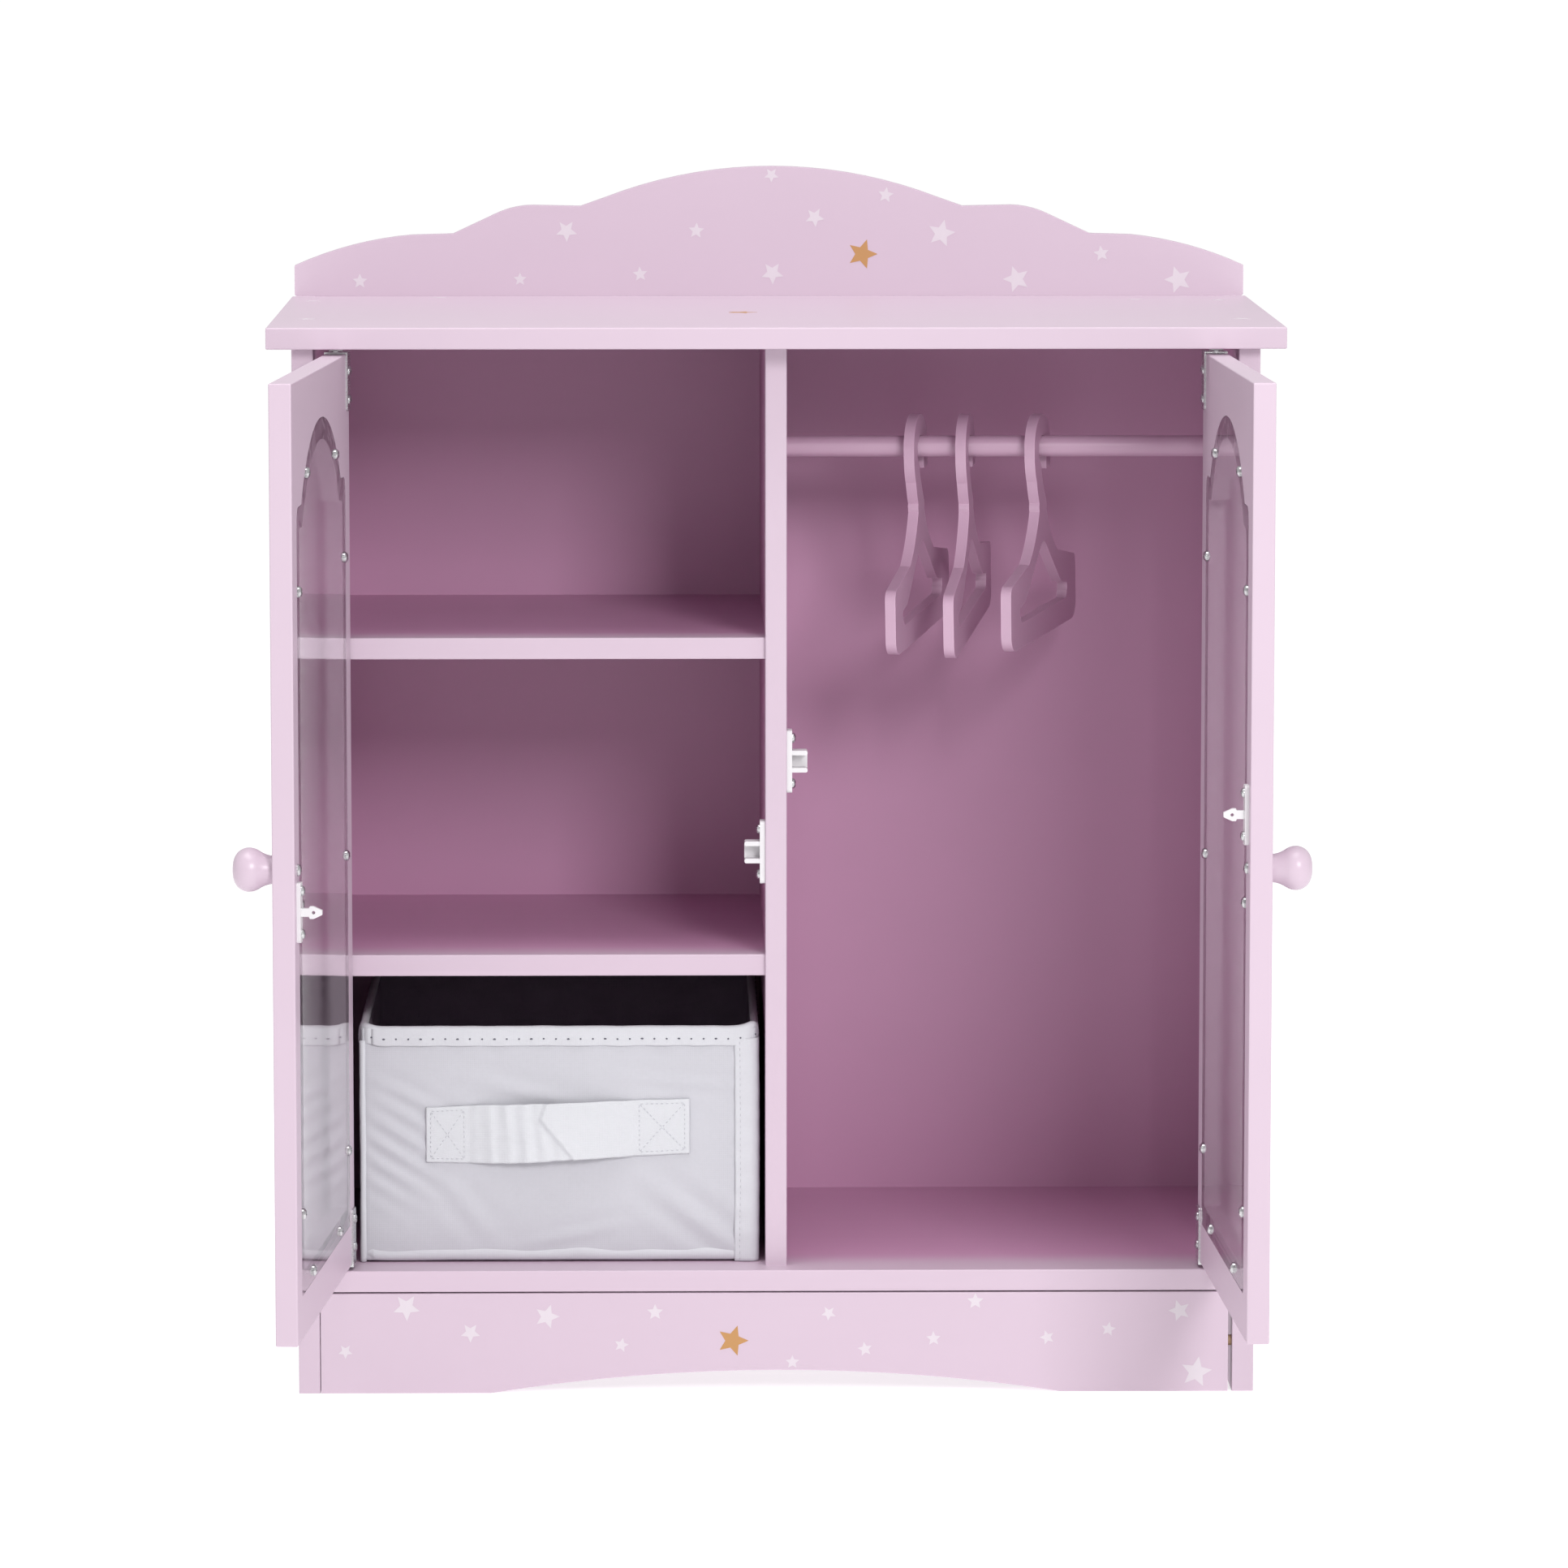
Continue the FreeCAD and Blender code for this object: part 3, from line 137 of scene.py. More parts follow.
@dataclass(frozen=True)
class Effect:
    """A shader node group that several finishes share."""

    name: str
    takes: tuple[tuple[str, SocketKind], ...]
    gives: tuple[tuple[str, SocketKind], ...]
    fill: Callable[[Wiring, bpy.types.Node, bpy.types.Node], None]

    def group(self) -> bpy.types.NodeTree:
        """Returns the node group, built the first time that it is asked for."""
        if self.name in bpy.data.node_groups:
            return bpy.data.node_groups[self.name]
        tree = bpy.data.node_groups.new(self.name, "ShaderNodeTree")
        for label, kind in self.takes:
            tree.interface.new_socket(label, in_out="INPUT", socket_type=kind.value)
        for label, kind in self.gives:
            tree.interface.new_socket(label, in_out="OUTPUT", socket_type=kind.value)
        wiring = Wiring(tree)
        start = wiring.add("NodeGroupInput")
        end = wiring.add("NodeGroupOutput")
        self.fill(wiring, start, end)
        return tree

    def use(self, wiring: Wiring, inputs: dict) -> bpy.types.Node:
        """Places the group in a material.

        Args:
            wiring: The material's wiring.
            inputs: Values or sockets, by the names of the group's inputs.

        Returns:
            The group node.
        """
        return wiring.add("ShaderNodeGroup", inputs, node_tree=self.group())


def fill_paint_film(wiring: Wiring, start: bpy.types.Node, end: bpy.types.Node) -> None:
    """Wires the sprayed film: slow patches of tone, long faint streaks and an orange-peel surface.

    Args:
        wiring: The group's wiring.
        start: The group's input node.
        end: The group's output node.
    """
    place = start.outputs["Place"]
    patches = wiring.noise(place, 7.0, 3.0)
    streaks = wiring.noise(wiring.stretched(place, (3.0, 90.0, 26.0)), 1.0, 3.0)
    peel = wiring.noise(place, 900.0, 2.0)
    swell = wiring.noise(place, 130.0, 1.0)
    tone = wiring.math("ADD", wiring.math("MULTIPLY", patches, 0.55), wiring.math("MULTIPLY", streaks, 0.45))
    height = wiring.math("ADD", wiring.math("MULTIPLY", peel, 0.35), wiring.math("MULTIPLY", swell, 0.65))
    wiring.feed(end, {"Tone": tone, "Height": height})


def fill_edge_highlight_mask(wiring: Wiring, start: bpy.types.Node, end: bpy.types.Node) -> None:
    """Wires a mask for painted edge highlights: 1 on sharp edges and 0 on flats.

    Args:
        wiring: The group's wiring.
        start: The group's input node.
        end: The group's output node.
    """
    ink_wear_and_edge_bevel = wiring.add("ShaderNodeBevel", {"Radius": start.outputs["Reach"]}, samples=4)
    flat = wiring.add("ShaderNodeNewGeometry")
    turn = wiring.add(
        "ShaderNodeVectorMath",
        {0: ink_wear_and_edge_bevel.outputs["Normal"], 1: flat.outputs["Normal"]},
        operation="DOT_PRODUCT",
    )
    lost = wiring.math("SUBTRACT", 1.0, turn.outputs["Value"])
    mask = wiring.add("ShaderNodeMapRange", {"Value": lost, "From Min": 0.01, "From Max": 0.22})
    wiring.feed(end, {"Edge": mask.outputs[0]})


def fill_plain_weave(wiring: Wiring, start: bpy.types.Node, end: bpy.types.Node) -> None:
    """Wires a plain weave: two sets of threads that pass over and under each other.

    Args:
        wiring: The group's wiring.
        start: The group's input node.
        end: The group's output node.
    """
    values = {"Vector": start.outputs["Cloth"], "Scale": start.outputs["Threads"], "Distortion": 0.4}
    warp = wiring.add("ShaderNodeTexWave", values, bands_direction="X").outputs["Fac"]
    weft = wiring.add("ShaderNodeTexWave", values, bands_direction="Y").outputs["Fac"]
    slub = wiring.noise(start.outputs["Cloth"], 420.0, 3.0)
    crossing = wiring.math("MULTIPLY", warp, weft)
    height = wiring.math("ADD", crossing, wiring.math("MULTIPLY", slub, 0.8))
    wiring.feed(end, {"Height": height, "Shade": slub})


PAINT_FILM = Effect(
    "paint_film",
    (("Place", SocketKind.VECTOR),),
    (("Tone", SocketKind.NUMBER), ("Height", SocketKind.NUMBER)),
    fill_paint_film,
)
# The mask for painted edge highlights on the satin paint and the moulded plastic.
EDGE_HIGHLIGHT_MASK = Effect(
    "edge_highlight_mask",
    (("Reach", SocketKind.NUMBER),),
    (("Edge", SocketKind.NUMBER),),
    fill_edge_highlight_mask,
)
PLAIN_WEAVE = Effect(
    "plain_weave",
    (("Cloth", SocketKind.VECTOR), ("Threads", SocketKind.NUMBER)),
    (("Height", SocketKind.NUMBER), ("Shade", SocketKind.NUMBER)),
    fill_plain_weave,
)


# ---------------------------------------------------------------- finishes

LILAC = (0.575, 0.455, 0.545)


@dataclass(frozen=True)
class Finish:
    """What every finish has: a name, its main colour and how rough it is."""

    name: str
    colour: Colour
    roughness: float

    def material(self) -> bpy.types.Material:
        """Returns the finish's material, made the first time that it is asked for."""
        if self.name in bpy.data.materials:
            return bpy.data.materials[self.name]
        material = bpy.data.materials.new(self.name)
        material.use_nodes = True
        wiring = Wiring(material.node_tree)
        shader = wiring.add("ShaderNodeBsdfPrincipled")
        surface = wiring.add("ShaderNodeOutputMaterial")
        wiring.tree.links.new(shader.outputs[0], surface.inputs["Surface"])
        shader.inputs["Base Color"].default_value = (*self.colour, 1.0)
        shader.inputs["Roughness"].default_value = self.roughness
        self.wire(wiring, shader)
        return material

    def wire(self, wiring: Wiring, shader: bpy.types.Node) -> None:
        """Adds the finish's own nodes in front of its shader."""
        raise NotImplementedError

    def tint(self, share: float) -> tuple[float, float, float, float]:
        """Returns the main colour made lighter or darker by a factor."""
        return (*(min(1.0, channel * share) for channel in self.colour), 1.0)

    def raise_surface(
        self, wiring: Wiring, shader: bpy.types.Node, height: object, strength: float, depth: float
    ) -> None:
        """Feeds a height to the shader's normal.

        Args:
            wiring: The material's wiring.
            shader: The Principled shader.
            height: The socket that gives the height, from 0 to 1.
            strength: How strongly the height tells.
            depth: The height's full depth.
        """
        values = {"Height": height, "Strength": strength, "Distance": depth}
        bump = wiring.add("ShaderNodeBump", values)
        wiring.tree.links.new(bump.outputs[0], shader.inputs["Normal"])


@dataclass(frozen=True)
class SatinPaint(Finish):
    """Sprayed satin paint on board or turned wood, with a painted highlight along its sharp edges."""

    # edge_highlight is a painted highlight: how much lighter the colour is made along sharp edges.
    edge_highlight: float = 1.12
    edge_reach: float = 1.1 * MM
    peel: float = 0.22

    def wire(self, wiring: Wiring, shader: bpy.types.Node) -> None:
        """Varies the tone and gloss, paints a highlight along the edges and gives the film its slight
        texture.

        Args:
            wiring: The material's wiring.
            shader: The Principled shader.
        """
        place = wiring.own_place()
        film = PAINT_FILM.use(wiring, {"Place": place})
        edge = EDGE_HIGHLIGHT_MASK.use(wiring, {"Reach": self.edge_reach})
        body = wiring.blend(film.outputs["Tone"], self.tint(0.965), self.tint(1.035))
        # Painted highlight: the colour is lightened along sharp edges.
        colour = wiring.blend(edge.outputs["Edge"], body, self.tint(self.edge_highlight))
        gloss = wiring.span(film.outputs["Tone"], self.roughness - 0.05, self.roughness + 0.05)
        wiring.feed(shader, {"Base Color": colour, "Roughness": gloss})
        self.raise_surface(wiring, shader, film.outputs["Height"], self.peel, 0.05 * MM)


@dataclass(frozen=True)
class ShadedCabinetPaint(SatinPaint):
    """The board paint, with painted shade: a deeper, more saturated tone is painted on inside the cabinet,
    where the real interior lies in shade.
    """

    # deep is the painted shade colour of the cabinet's inside; inner_half, fade, rear and heights bound
    # where it is painted.
    deep: Colour = (0.55, 0.295, 0.455)
    inner_half: float = 0.2562
    fade: tuple[float, float] = (0.014, 0.055)
    rear: float = 0.2725
    heights: tuple[float, float] = (0.06, 0.5865)

    def wire(self, wiring: Wiring, shader: bpy.types.Node) -> None:
        """Wires the film as for any board, then paints shade over it behind the front edges.

        Args:
            wiring: The material's wiring.
            shader: The Principled shader.
        """
        super().wire(wiring, shader)
        film = shader.inputs["Base Color"].links[0].from_socket
        place = wiring.own_place()
        axes = wiring.add("ShaderNodeSeparateXYZ", {0: place})
        sideways = wiring.math("ABSOLUTE", axes.outputs["X"])
        within = wiring.math("LESS_THAN", sideways, self.inner_half)
        above = wiring.math("GREATER_THAN", axes.outputs["Z"], self.heights[0])
        below = wiring.math("LESS_THAN", axes.outputs["Z"], self.heights[1])
        ends = {"Value": axes.outputs["Y"], "From Min": self.fade[0], "From Max": self.fade[1]}
        depth = wiring.add("ShaderNodeMapRange", ends, interpolation_type="SMOOTHSTEP").outputs[0]
        before = wiring.math("LESS_THAN", axes.outputs["Y"], self.rear)
        tall = wiring.math("MULTIPLY", above, below)
        inside = wiring.math("MULTIPLY", wiring.math("MULTIPLY", within, before), tall)
        share = wiring.math("MULTIPLY", inside, depth)
        patches = wiring.noise(place, 9.0, 3.0)
        low = tuple(channel * 0.96 for channel in self.deep)
        high = tuple(channel * 1.04 for channel in self.deep)
        deep = wiring.blend(patches, (*low, 1.0), (*high, 1.0))
        # Painted shade: the deeper colour is blended in wherever the point lies inside the cabinet.
        wiring.feed(shader, {"Base Color": wiring.blend(share, film, deep)})


@dataclass(frozen=True)
class PrintedInk(Finish):
    """A thin screen-printed ink that lets a little of the paint show through."""

    ground: Colour = LILAC
    thinness: float = 0.3

    def wire(self, wiring: Wiring, shader: bpy.types.Node) -> None:
        """Breaks the ink up with fine specks and uneven cover.

        Args:
            wiring: The material's wiring.
            shader: The Principled shader.
        """
        place = wiring.own_place()
        cover = wiring.noise(place, 260.0, 4.0)
        specks = wiring.noise(place, 2600.0, 1.0)
        ink_wear_and_edge_bevel = wiring.math("MULTIPLY", wiring.math("ADD", cover, specks), self.thinness)
        colour = wiring.blend(ink_wear_and_edge_bevel, self.tint(1.0), (*self.ground, 1.0))
        gloss = wiring.span(specks, self.roughness - 0.08, self.roughness + 0.08)
        wiring.feed(shader, {"Base Color": colour, "Roughness": gloss})
        self.raise_surface(wiring, shader, specks, 0.2, 0.04 * MM)


@dataclass(frozen=True)
class ClearSheet(Finish):
    """Clear plastic window sheet with a faint haze and rub marks."""

    bend: float = 1.47

    def wire(self, wiring: Wiring, shader: bpy.types.Node) -> None:
        """Makes the sheet clear and lets light rub marks vary its roughness.

        Args:
            wiring: The material's wiring.
            shader: The Principled shader.
        """
        shader.inputs["Transmission Weight"].default_value = 1.0
        shader.inputs["IOR"].default_value = self.bend
        place = wiring.own_place()
        rubs = wiring.noise(wiring.stretched(place, (30.0, 30.0, 220.0)), 1.0, 4.0)
        gloss = wiring.span(rubs, self.roughness * 0.3, self.roughness * 1.7)
        haze = wiring.blend(rubs, self.tint(0.985), self.tint(1.0))
        wiring.feed(shader, {"Roughness": gloss, "Base Color": haze})


@dataclass(frozen=True)
class PlatedSteel(Finish):
    """Bright zinc-plated steel, slightly brushed and spotted."""

    def wire(self, wiring: Wiring, shader: bpy.types.Node) -> None:
        """Varies the plating's tone and shine and adds fine drawing lines.

        Args:
            wiring: The material's wiring.
            shader: The Principled shader.
        """
        shader.inputs["Metallic"].default_value = 1.0
        place = wiring.own_place()
        spots = wiring.noise(place, 700.0, 4.0)
        lines = wiring.noise(wiring.stretched(place, (400.0, 400.0, 4000.0)), 1.0, 2.0)
        colour = wiring.blend(spots, self.tint(0.82), self.tint(1.1))
        gloss = wiring.span(lines, self.roughness - 0.1, self.roughness + 0.12)
        wiring.feed(shader, {"Base Color": colour, "Roughness": gloss})
        self.raise_surface(wiring, shader, lines, 0.25, 0.03 * MM)


@dataclass(frozen=True)
class MouldedPlastic(Finish):
    """Moulded plastic with a fine spark-eroded texture."""

    def wire(self, wiring: Wiring, shader: bpy.types.Node) -> None:
        """Adds the mould's texture, faint flow marks and a painted highlight along its edges.

        Args:
            wiring: The material's wiring.
            shader: The Principled shader.
        """
        place = wiring.own_place()
        grain = wiring.noise(place, 2400.0, 2.0)
        flow = wiring.noise(wiring.stretched(place, (90.0, 90.0, 25.0)), 1.0, 2.0)
        edge = EDGE_HIGHLIGHT_MASK.use(wiring, {"Reach": 0.4 * MM})
        body = wiring.blend(flow, self.tint(0.95), self.tint(1.02))
        # Painted highlight: the colour is lightened along sharp edges.
        colour = wiring.blend(edge.outputs["Edge"], body, self.tint(1.08))
        gloss = wiring.span(grain, self.roughness - 0.06, self.roughness + 0.08)
        wiring.feed(shader, {"Base Color": colour, "Roughness": gloss})
        self.raise_surface(wiring, shader, grain, 0.3, 0.03 * MM)


@dataclass(frozen=True)
class WovenCloth(Finish):
    """Plain-woven cloth whose threads follow the piece's own cloth map."""

    threads: float = 420.0
    weave: float = 0.5

    def wire(self, wiring: Wiring, shader: bpy.types.Node) -> None:
        """Weaves the surface, varies its shade and gives it a soft sheen.

        Args:
            wiring: The material's wiring.
            shader: The Principled shader.
        """
        shader.inputs["Sheen Weight"].default_value = 0.15
        shader.inputs["Sheen Roughness"].default_value = 0.5
        shader.inputs["Specular IOR Level"].default_value = 0.25
        cloth = wiring.add("ShaderNodeUVMap", uv_map="cloth").outputs[0]
        woven = PLAIN_WEAVE.use(wiring, {"Cloth": cloth, "Threads": self.threads})
        patches = wiring.noise(cloth, 22.0, 3.0)
        shade = wiring.math("MULTIPLY", wiring.math("ADD", patches, woven.outputs["Shade"]), 0.5)
        colour = wiring.blend(shade, self.tint(0.93), self.tint(1.06))
        gloss = wiring.span(woven.outputs["Shade"], self.roughness - 0.08, self.roughness + 0.08)
        wiring.feed(shader, {"Base Color": colour, "Roughness": gloss})
        self.raise_surface(wiring, shader, woven.outputs["Height"], self.weave, 0.12 * MM)


@dataclass(frozen=True)
class SewingThread(Finish):
    """Twisted sewing thread."""

    def wire(self, wiring: Wiring, shader: bpy.types.Node) -> None:
        """Twists the thread and mottles its colour.

        Args:
            wiring: The material's wiring.
            shader: The Principled shader.
        """
        place = wiring.own_place()
        twist = wiring.add(
            "ShaderNodeTexWave", {"Vector": place, "Scale": 900.0}, bands_direction="DIAGONAL"
        ).outputs["Fac"]
        colour = wiring.blend(twist, self.tint(0.85), self.tint(1.1))
        gloss = wiring.span(twist, self.roughness - 0.1, self.roughness + 0.1)
        wiring.feed(shader, {"Base Color": colour, "Roughness": gloss})
        self.raise_surface(wiring, shader, twist, 0.4, 0.05 * MM)


@dataclass(frozen=True)
class BareWood(Finish):
    """Unpainted beech with a fine straight grain."""

    def wire(self, wiring: Wiring, shader: bpy.types.Node) -> None:
        """Draws the grain along X.

        Args:
            wiring: The material's wiring.
            shader: The Principled shader.
        """
        place = wiring.own_place()
        grain = wiring.noise(wiring.stretched(place, (30.0, 900.0, 900.0)), 1.0, 4.0)
        colour = wiring.blend(grain, self.tint(0.72), self.tint(1.12))
        gloss = wiring.span(grain, self.roughness - 0.08, self.roughness + 0.08)
        wiring.feed(shader, {"Base Color": colour, "Roughness": gloss})
        self.raise_surface(wiring, shader, grain, 0.4, 0.08 * MM)


BOARD_PAINT = SatinPaint("lilac_board_paint", LILAC, 0.4)
CABINET_PAINT_WITH_SHADE = ShadedCabinetPaint("lilac_cabinet_paint_with_painted_shade", LILAC, 0.4)
TURNED_PAINT = SatinPaint("lilac_turned_paint", LILAC, 0.32, edge_highlight=1.0, peel=0.12)
HANGER_PAINT = SatinPaint("lilac_hanger_paint", (0.6, 0.4, 0.53), 0.34, edge_highlight=1.15, peel=0.12)
WHITE_INK = PrintedInk("white_star_ink", (0.66, 0.61, 0.65), 0.5, thinness=0.2)
GOLD_INK = PrintedInk("gold_star_ink", (0.47, 0.235, 0.07), 0.42, thinness=0.03)
WINDOW_SHEET = ClearSheet("clear_window_sheet", (0.97, 0.97, 0.98), 0.04)
ZINC = PlatedSteel("zinc_plated_steel", (0.6, 0.6, 0.61), 0.26)
WHITE_PLASTIC = MouldedPlastic("white_catch_plastic", (0.72, 0.7, 0.72), 0.36)
COVER_CLOTH = WovenCloth("bin_cover_cloth", (0.53, 0.525, 0.565), 0.8)
BINDING_CLOTH = WovenCloth("bin_binding_cloth", (0.6, 0.6, 0.635), 0.82)
STRAP_CLOTH = WovenCloth("bin_handle_cloth", (0.61, 0.615, 0.645), 0.78, threads=330.0, weave=0.6)
LINING_CLOTH = WovenCloth("bin_lining_cloth", (0.32, 0.26, 0.34), 0.85, threads=330.0)
WHITE_THREAD = SewingThread("white_sewing_thread", (0.5, 0.5, 0.54), 0.6)
# Painted shade: the dark grey of the beads that mark the hem's needle holes.
NEEDLE_HOLE_SHADE = SewingThread("needle_hole_painted_shade", (0.13, 0.13, 0.16), 0.7)
BEECH = BareWood("bare_beech_dowel", (0.4, 0.27, 0.16), 0.6)


# ---------------------------------------------------------------- making pieces


def finished_piece(work: bmesh.types.BMesh, name: str, body: str, finish: Finish) -> bpy.types.Object:
    """Turns a bmesh into a shown piece.

    Args:
        work: The shape, which is freed.
        name: The piece's name.
        body: The body that it rides on.
        finish: Its finish.

    Returns:
        The new object.
    """
    mesh = bpy.data.meshes.new(name)
    work.to_mesh(mesh)
    work.free()
    mesh.shade_smooth()
    mesh.materials.append(finish.material())
    piece = bpy.data.objects.new(name, mesh)
    bpy.context.scene.collection.objects.link(piece)
    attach(piece, body)
    log.info("piece %s rides on %s", name, body)
    return piece


def cloth_grid(columns: int, rows: int, flat: tuple[float, float], place: Place) -> bmesh.types.BMesh:
    """Lays out a flat cut of cloth, keeps its flat size as its cloth map, then moves it into place.

    Args:
        columns: Cells across.
        rows: Cells up.
        flat: The cut's width and length.
        place: Gives a point for a share across and a share up, from 0 to 1.

    Returns:
        The bmesh of the cloth, one layer thick.
    """
    work = bmesh.new()
    bmesh.ops.create_grid(work, x_segments=columns, y_segments=rows, size=0.5)
    cloth_map = work.loops.layers.uv.new("cloth")
    for face in work.faces:
        for loop in face.loops:
            share = loop.vert.co
            loop[cloth_map].uv = ((share.x + 0.5) * flat[0], (share.y + 0.5) * flat[1])
    for vertex in work.verts:
        vertex.co = place(vertex.co.x + 0.5, vertex.co.y + 0.5)
    bmesh.ops.remove_doubles(work, verts=work.verts, dist=1e-6)
    return work


def thicken(piece: bpy.types.Object, thickness: float) -> None:
    """Gives a sheet its thickness on the side away from its face.

    Args:
        piece: The sheet to thicken.
        thickness: Its thickness.
    """
    wall = piece.modifiers.new("thickness", "SOLIDIFY")
    wall.thickness = thickness
    wall.offset = -1.0


def add_stitch(work: bmesh.types.BMesh, middle: Vector, along: Vector, length: float, width: float) -> None:
    """Adds one stitch as a small long bead.

    Args:
        work: The bmesh to add to.
        middle: The stitch's middle.
        along: The way it runs.
        length: Its length.
        width: Its width.
    """
    turn = along.to_track_quat("X", "Z").to_matrix().to_4x4()
    size = Matrix.Diagonal((length, width, width, 1.0))
    bmesh.ops.create_uvsphere(
        work, u_segments=6, v_segments=4, radius=0.5, matrix=Matrix.Translation(middle) @ turn @ size
    )


def smooth_step(value: float) -> float:
    """Returns 0 below 0, 1 above 1 and an S-curve between."""
    held = min(1.0, max(0.0, value))
    return held * held * (3.0 - 2.0 * held)


def ripple(x: float, y: float, size: float, seed: float) -> float:
    """Returns fixed smooth noise from about -1 to 1, with features of a given size."""
    return noise.noise(Vector((x / size, y / size, seed)))


# ---------------------------------------------------------------- boards and hardware


@dataclass
class Joinery:
    """The frame's own boards and hardware, which keep their shape and get their finishes."""

    finishes: dict[str, Finish] = field(
        default_factory=lambda: {
            "window_pane": WINDOW_SHEET,
            "catch_clip_screws": ZINC,
            "catch_spear_screws": ZINC,
            "catch_clip": WHITE_PLASTIC,
            "catch_spear": WHITE_PLASTIC,
            "pivot_bushes": WHITE_PLASTIC,
            "dowel_pins": BEECH,
            "screw": ZINC,
            "hinge": ZINC,
            "knob": TURNED_PAINT,
            "hanging_rail": HANGER_PAINT,
            "front_hanger": HANGER_PAINT,
            "side_panel": CABINET_PAINT_WITH_SHADE,
            "base_board": CABINET_PAINT_WITH_SHADE,
            "divider_panel": CABINET_PAINT_WITH_SHADE,
            "lower_shelf": CABINET_PAINT_WITH_SHADE,
            "upper_shelf": CABINET_PAINT_WITH_SHADE,
            "back_panel": CABINET_PAINT_WITH_SHADE,
        }
    )

    def finish_for(self, node: str) -> Finish:
        """Finds the first finish whose word is in the node's name, or the board paint.

        Args:
            node: The node's name.

        Returns:
            The finish.
        """
        ordered = sorted(self.finishes, key=lambda word: ("screw" not in word, -len(word)))
        for word in ordered:
            if word in node:
                return self.finishes[word]
        return BOARD_PAINT

    def build(self) -> None:
        """Gives every shown frame node its finish."""
        for name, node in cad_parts.items():
            material = self.finish_for(name).material()
            if not node.material_slots:
                node.data.materials.append(material)
            for holder in node.material_slots:
                holder.material = material
            log.info("node %s is finished in %s", name, material.name)


# ---------------------------------------------------------------- printed stars


@dataclass(frozen=True)
class Star:
    """One printed star: its place on its surface, its width and the way that a point faces."""

    across_mm: float
    up_mm: float
    width_mm: float
    turn_deg: float = 90.0


@dataclass(frozen=True)
class PrintedFace:
    """A flat surface that stars are printed on."""

    name: str
    body: str
    corner: Vector
    across: Vector
    up: Vector
    white: tuple[Star, ...]
    gold: tuple[Star, ...] = ()
    waist: float = 0.46
    ink_mm: float = 0.1

    def print_stars(self, stars: Iterable[Star], name: str, ink: Finish) -> bpy.types.Object:
        """Makes one piece of all the stars in one ink.

        Args:
            stars: The stars to print.
            name: The piece's name.
            ink: The ink's finish.

        Returns:
            The new piece.
        """
        work = bmesh.new()
        for star in stars:
            radius = star.width_mm / (2.0 * math.sin(math.radians(72.0)))
            ring = bmesh.ops.create_circle(work, cap_ends=True, radius=radius, segments=10)["verts"]
            for corner in ring[1::2]:
                corner.co *= self.waist
            first = math.atan2(ring[0].co.y, ring[0].co.x)
            turn = Matrix.Rotation(math.radians(star.turn_deg) - first, 4, "Z")
            bmesh.ops.transform(work, matrix=turn, verts=ring)
            bmesh.ops.translate(work, vec=(star.across_mm, star.up_mm, self.ink_mm), verts=ring)
        bmesh.ops.solidify(work, geom=work.faces[:], thickness=self.ink_mm)
        bmesh.ops.recalc_face_normals(work, faces=work.faces[:])
        outward = self.across.cross(self.up)
        axes = Matrix((self.across, self.up, outward)).transposed().to_4x4()
        onto = Matrix.Translation(self.corner) @ axes @ Matrix.Scale(MM, 4)
        bmesh.ops.transform(work, matrix=onto, verts=work.verts[:])
        piece = finished_piece(work, name, self.body, ink)
        piece.data.shade_flat()
        return piece

    def build(self) -> None:
        """Prints the white stars and then the gold ones."""
        self.print_stars(self.white, f"{self.name}_white_stars", WHITE_INK)
        if self.gold:
            self.print_stars(self.gold, f"{self.name}_gold_star", GOLD_INK)


CREST_WHITE = (
    Star(-241.0, 8.8, 8.6),
    Star(-146.8, 9.9, 7.6),
    Star(-119.4, 38.3, 12.4, -88.0),
    Star(-76.1, 12.9, 8.6, 95.0),
    Star(-43.0, 38.4, 9.1, 86.0),
    Star(1.2, 71.0, 8.4, -90.0),
    Star(1.8, 13.4, 12.9, -88.0),
    Star(26.7, 46.2, 11.0, -84.0),
    Star(68.5, 59.3, 9.1, 82.0),
    Star(101.3, 36.7, 15.7, 5.0),
    Star(145.6, 9.8, 15.3, 180.0),
    Star(195.6, 24.8, 9.1, 98.0),
    Star(240.9, 9.4, 15.7, 180.0),
)
CREST_GOLD = (Star(54.7, 24.6, 17.2, 0.0),)
PLINTH_WHITE = (
    Star(-207.1, 48.9, 14.8, -88.0),
    Star(-241.4, 23.9, 8.1, -90.0),
    Star(-171.4, 34.4, 10.8, -90.0),
    Star(-128.5, 43.5, 13.5, 0.0),
    Star(-68.0, 45.8, 9.0),
    Star(-86.9, 27.2, 8.1, 4.0),
    Star(8.9, 17.2, 7.6),
    Star(29.2, 44.9, 8.1, -95.0),
    Star(49.6, 24.5, 8.1, 100.0),
    Star(88.0, 30.4, 8.1, 20.0),
    Star(111.4, 51.6, 9.2),
    Star(151.7, 30.9, 8.1, 180.0),
    Star(186.1, 35.5, 8.1, 8.0),
    Star(225.9, 45.9, 12.1, 180.0),
    Star(235.5, 10.9, 17.1, 8.0),
)
PLINTH_GOLD = (Star(-24.6, 29.5, 17.1, 0.0),)
TOP_WHITE = (
    Star(-261.8, 68.4, 11.0, 30.0),
    Star(-266.6, 243.3, 9.0, 70.0),
    Star(-193.9, 278.3, 11.0, -20.0),
    Star(213.6, 254.2, 11.0, 60.0),
    Star(261.8, 247.1, 9.0, 15.0),
    Star(261.5, 64.5, 11.0, 40.0),
)
TOP_GOLD = (Star(-18.0, 128.0, 17.0, 0.0),)


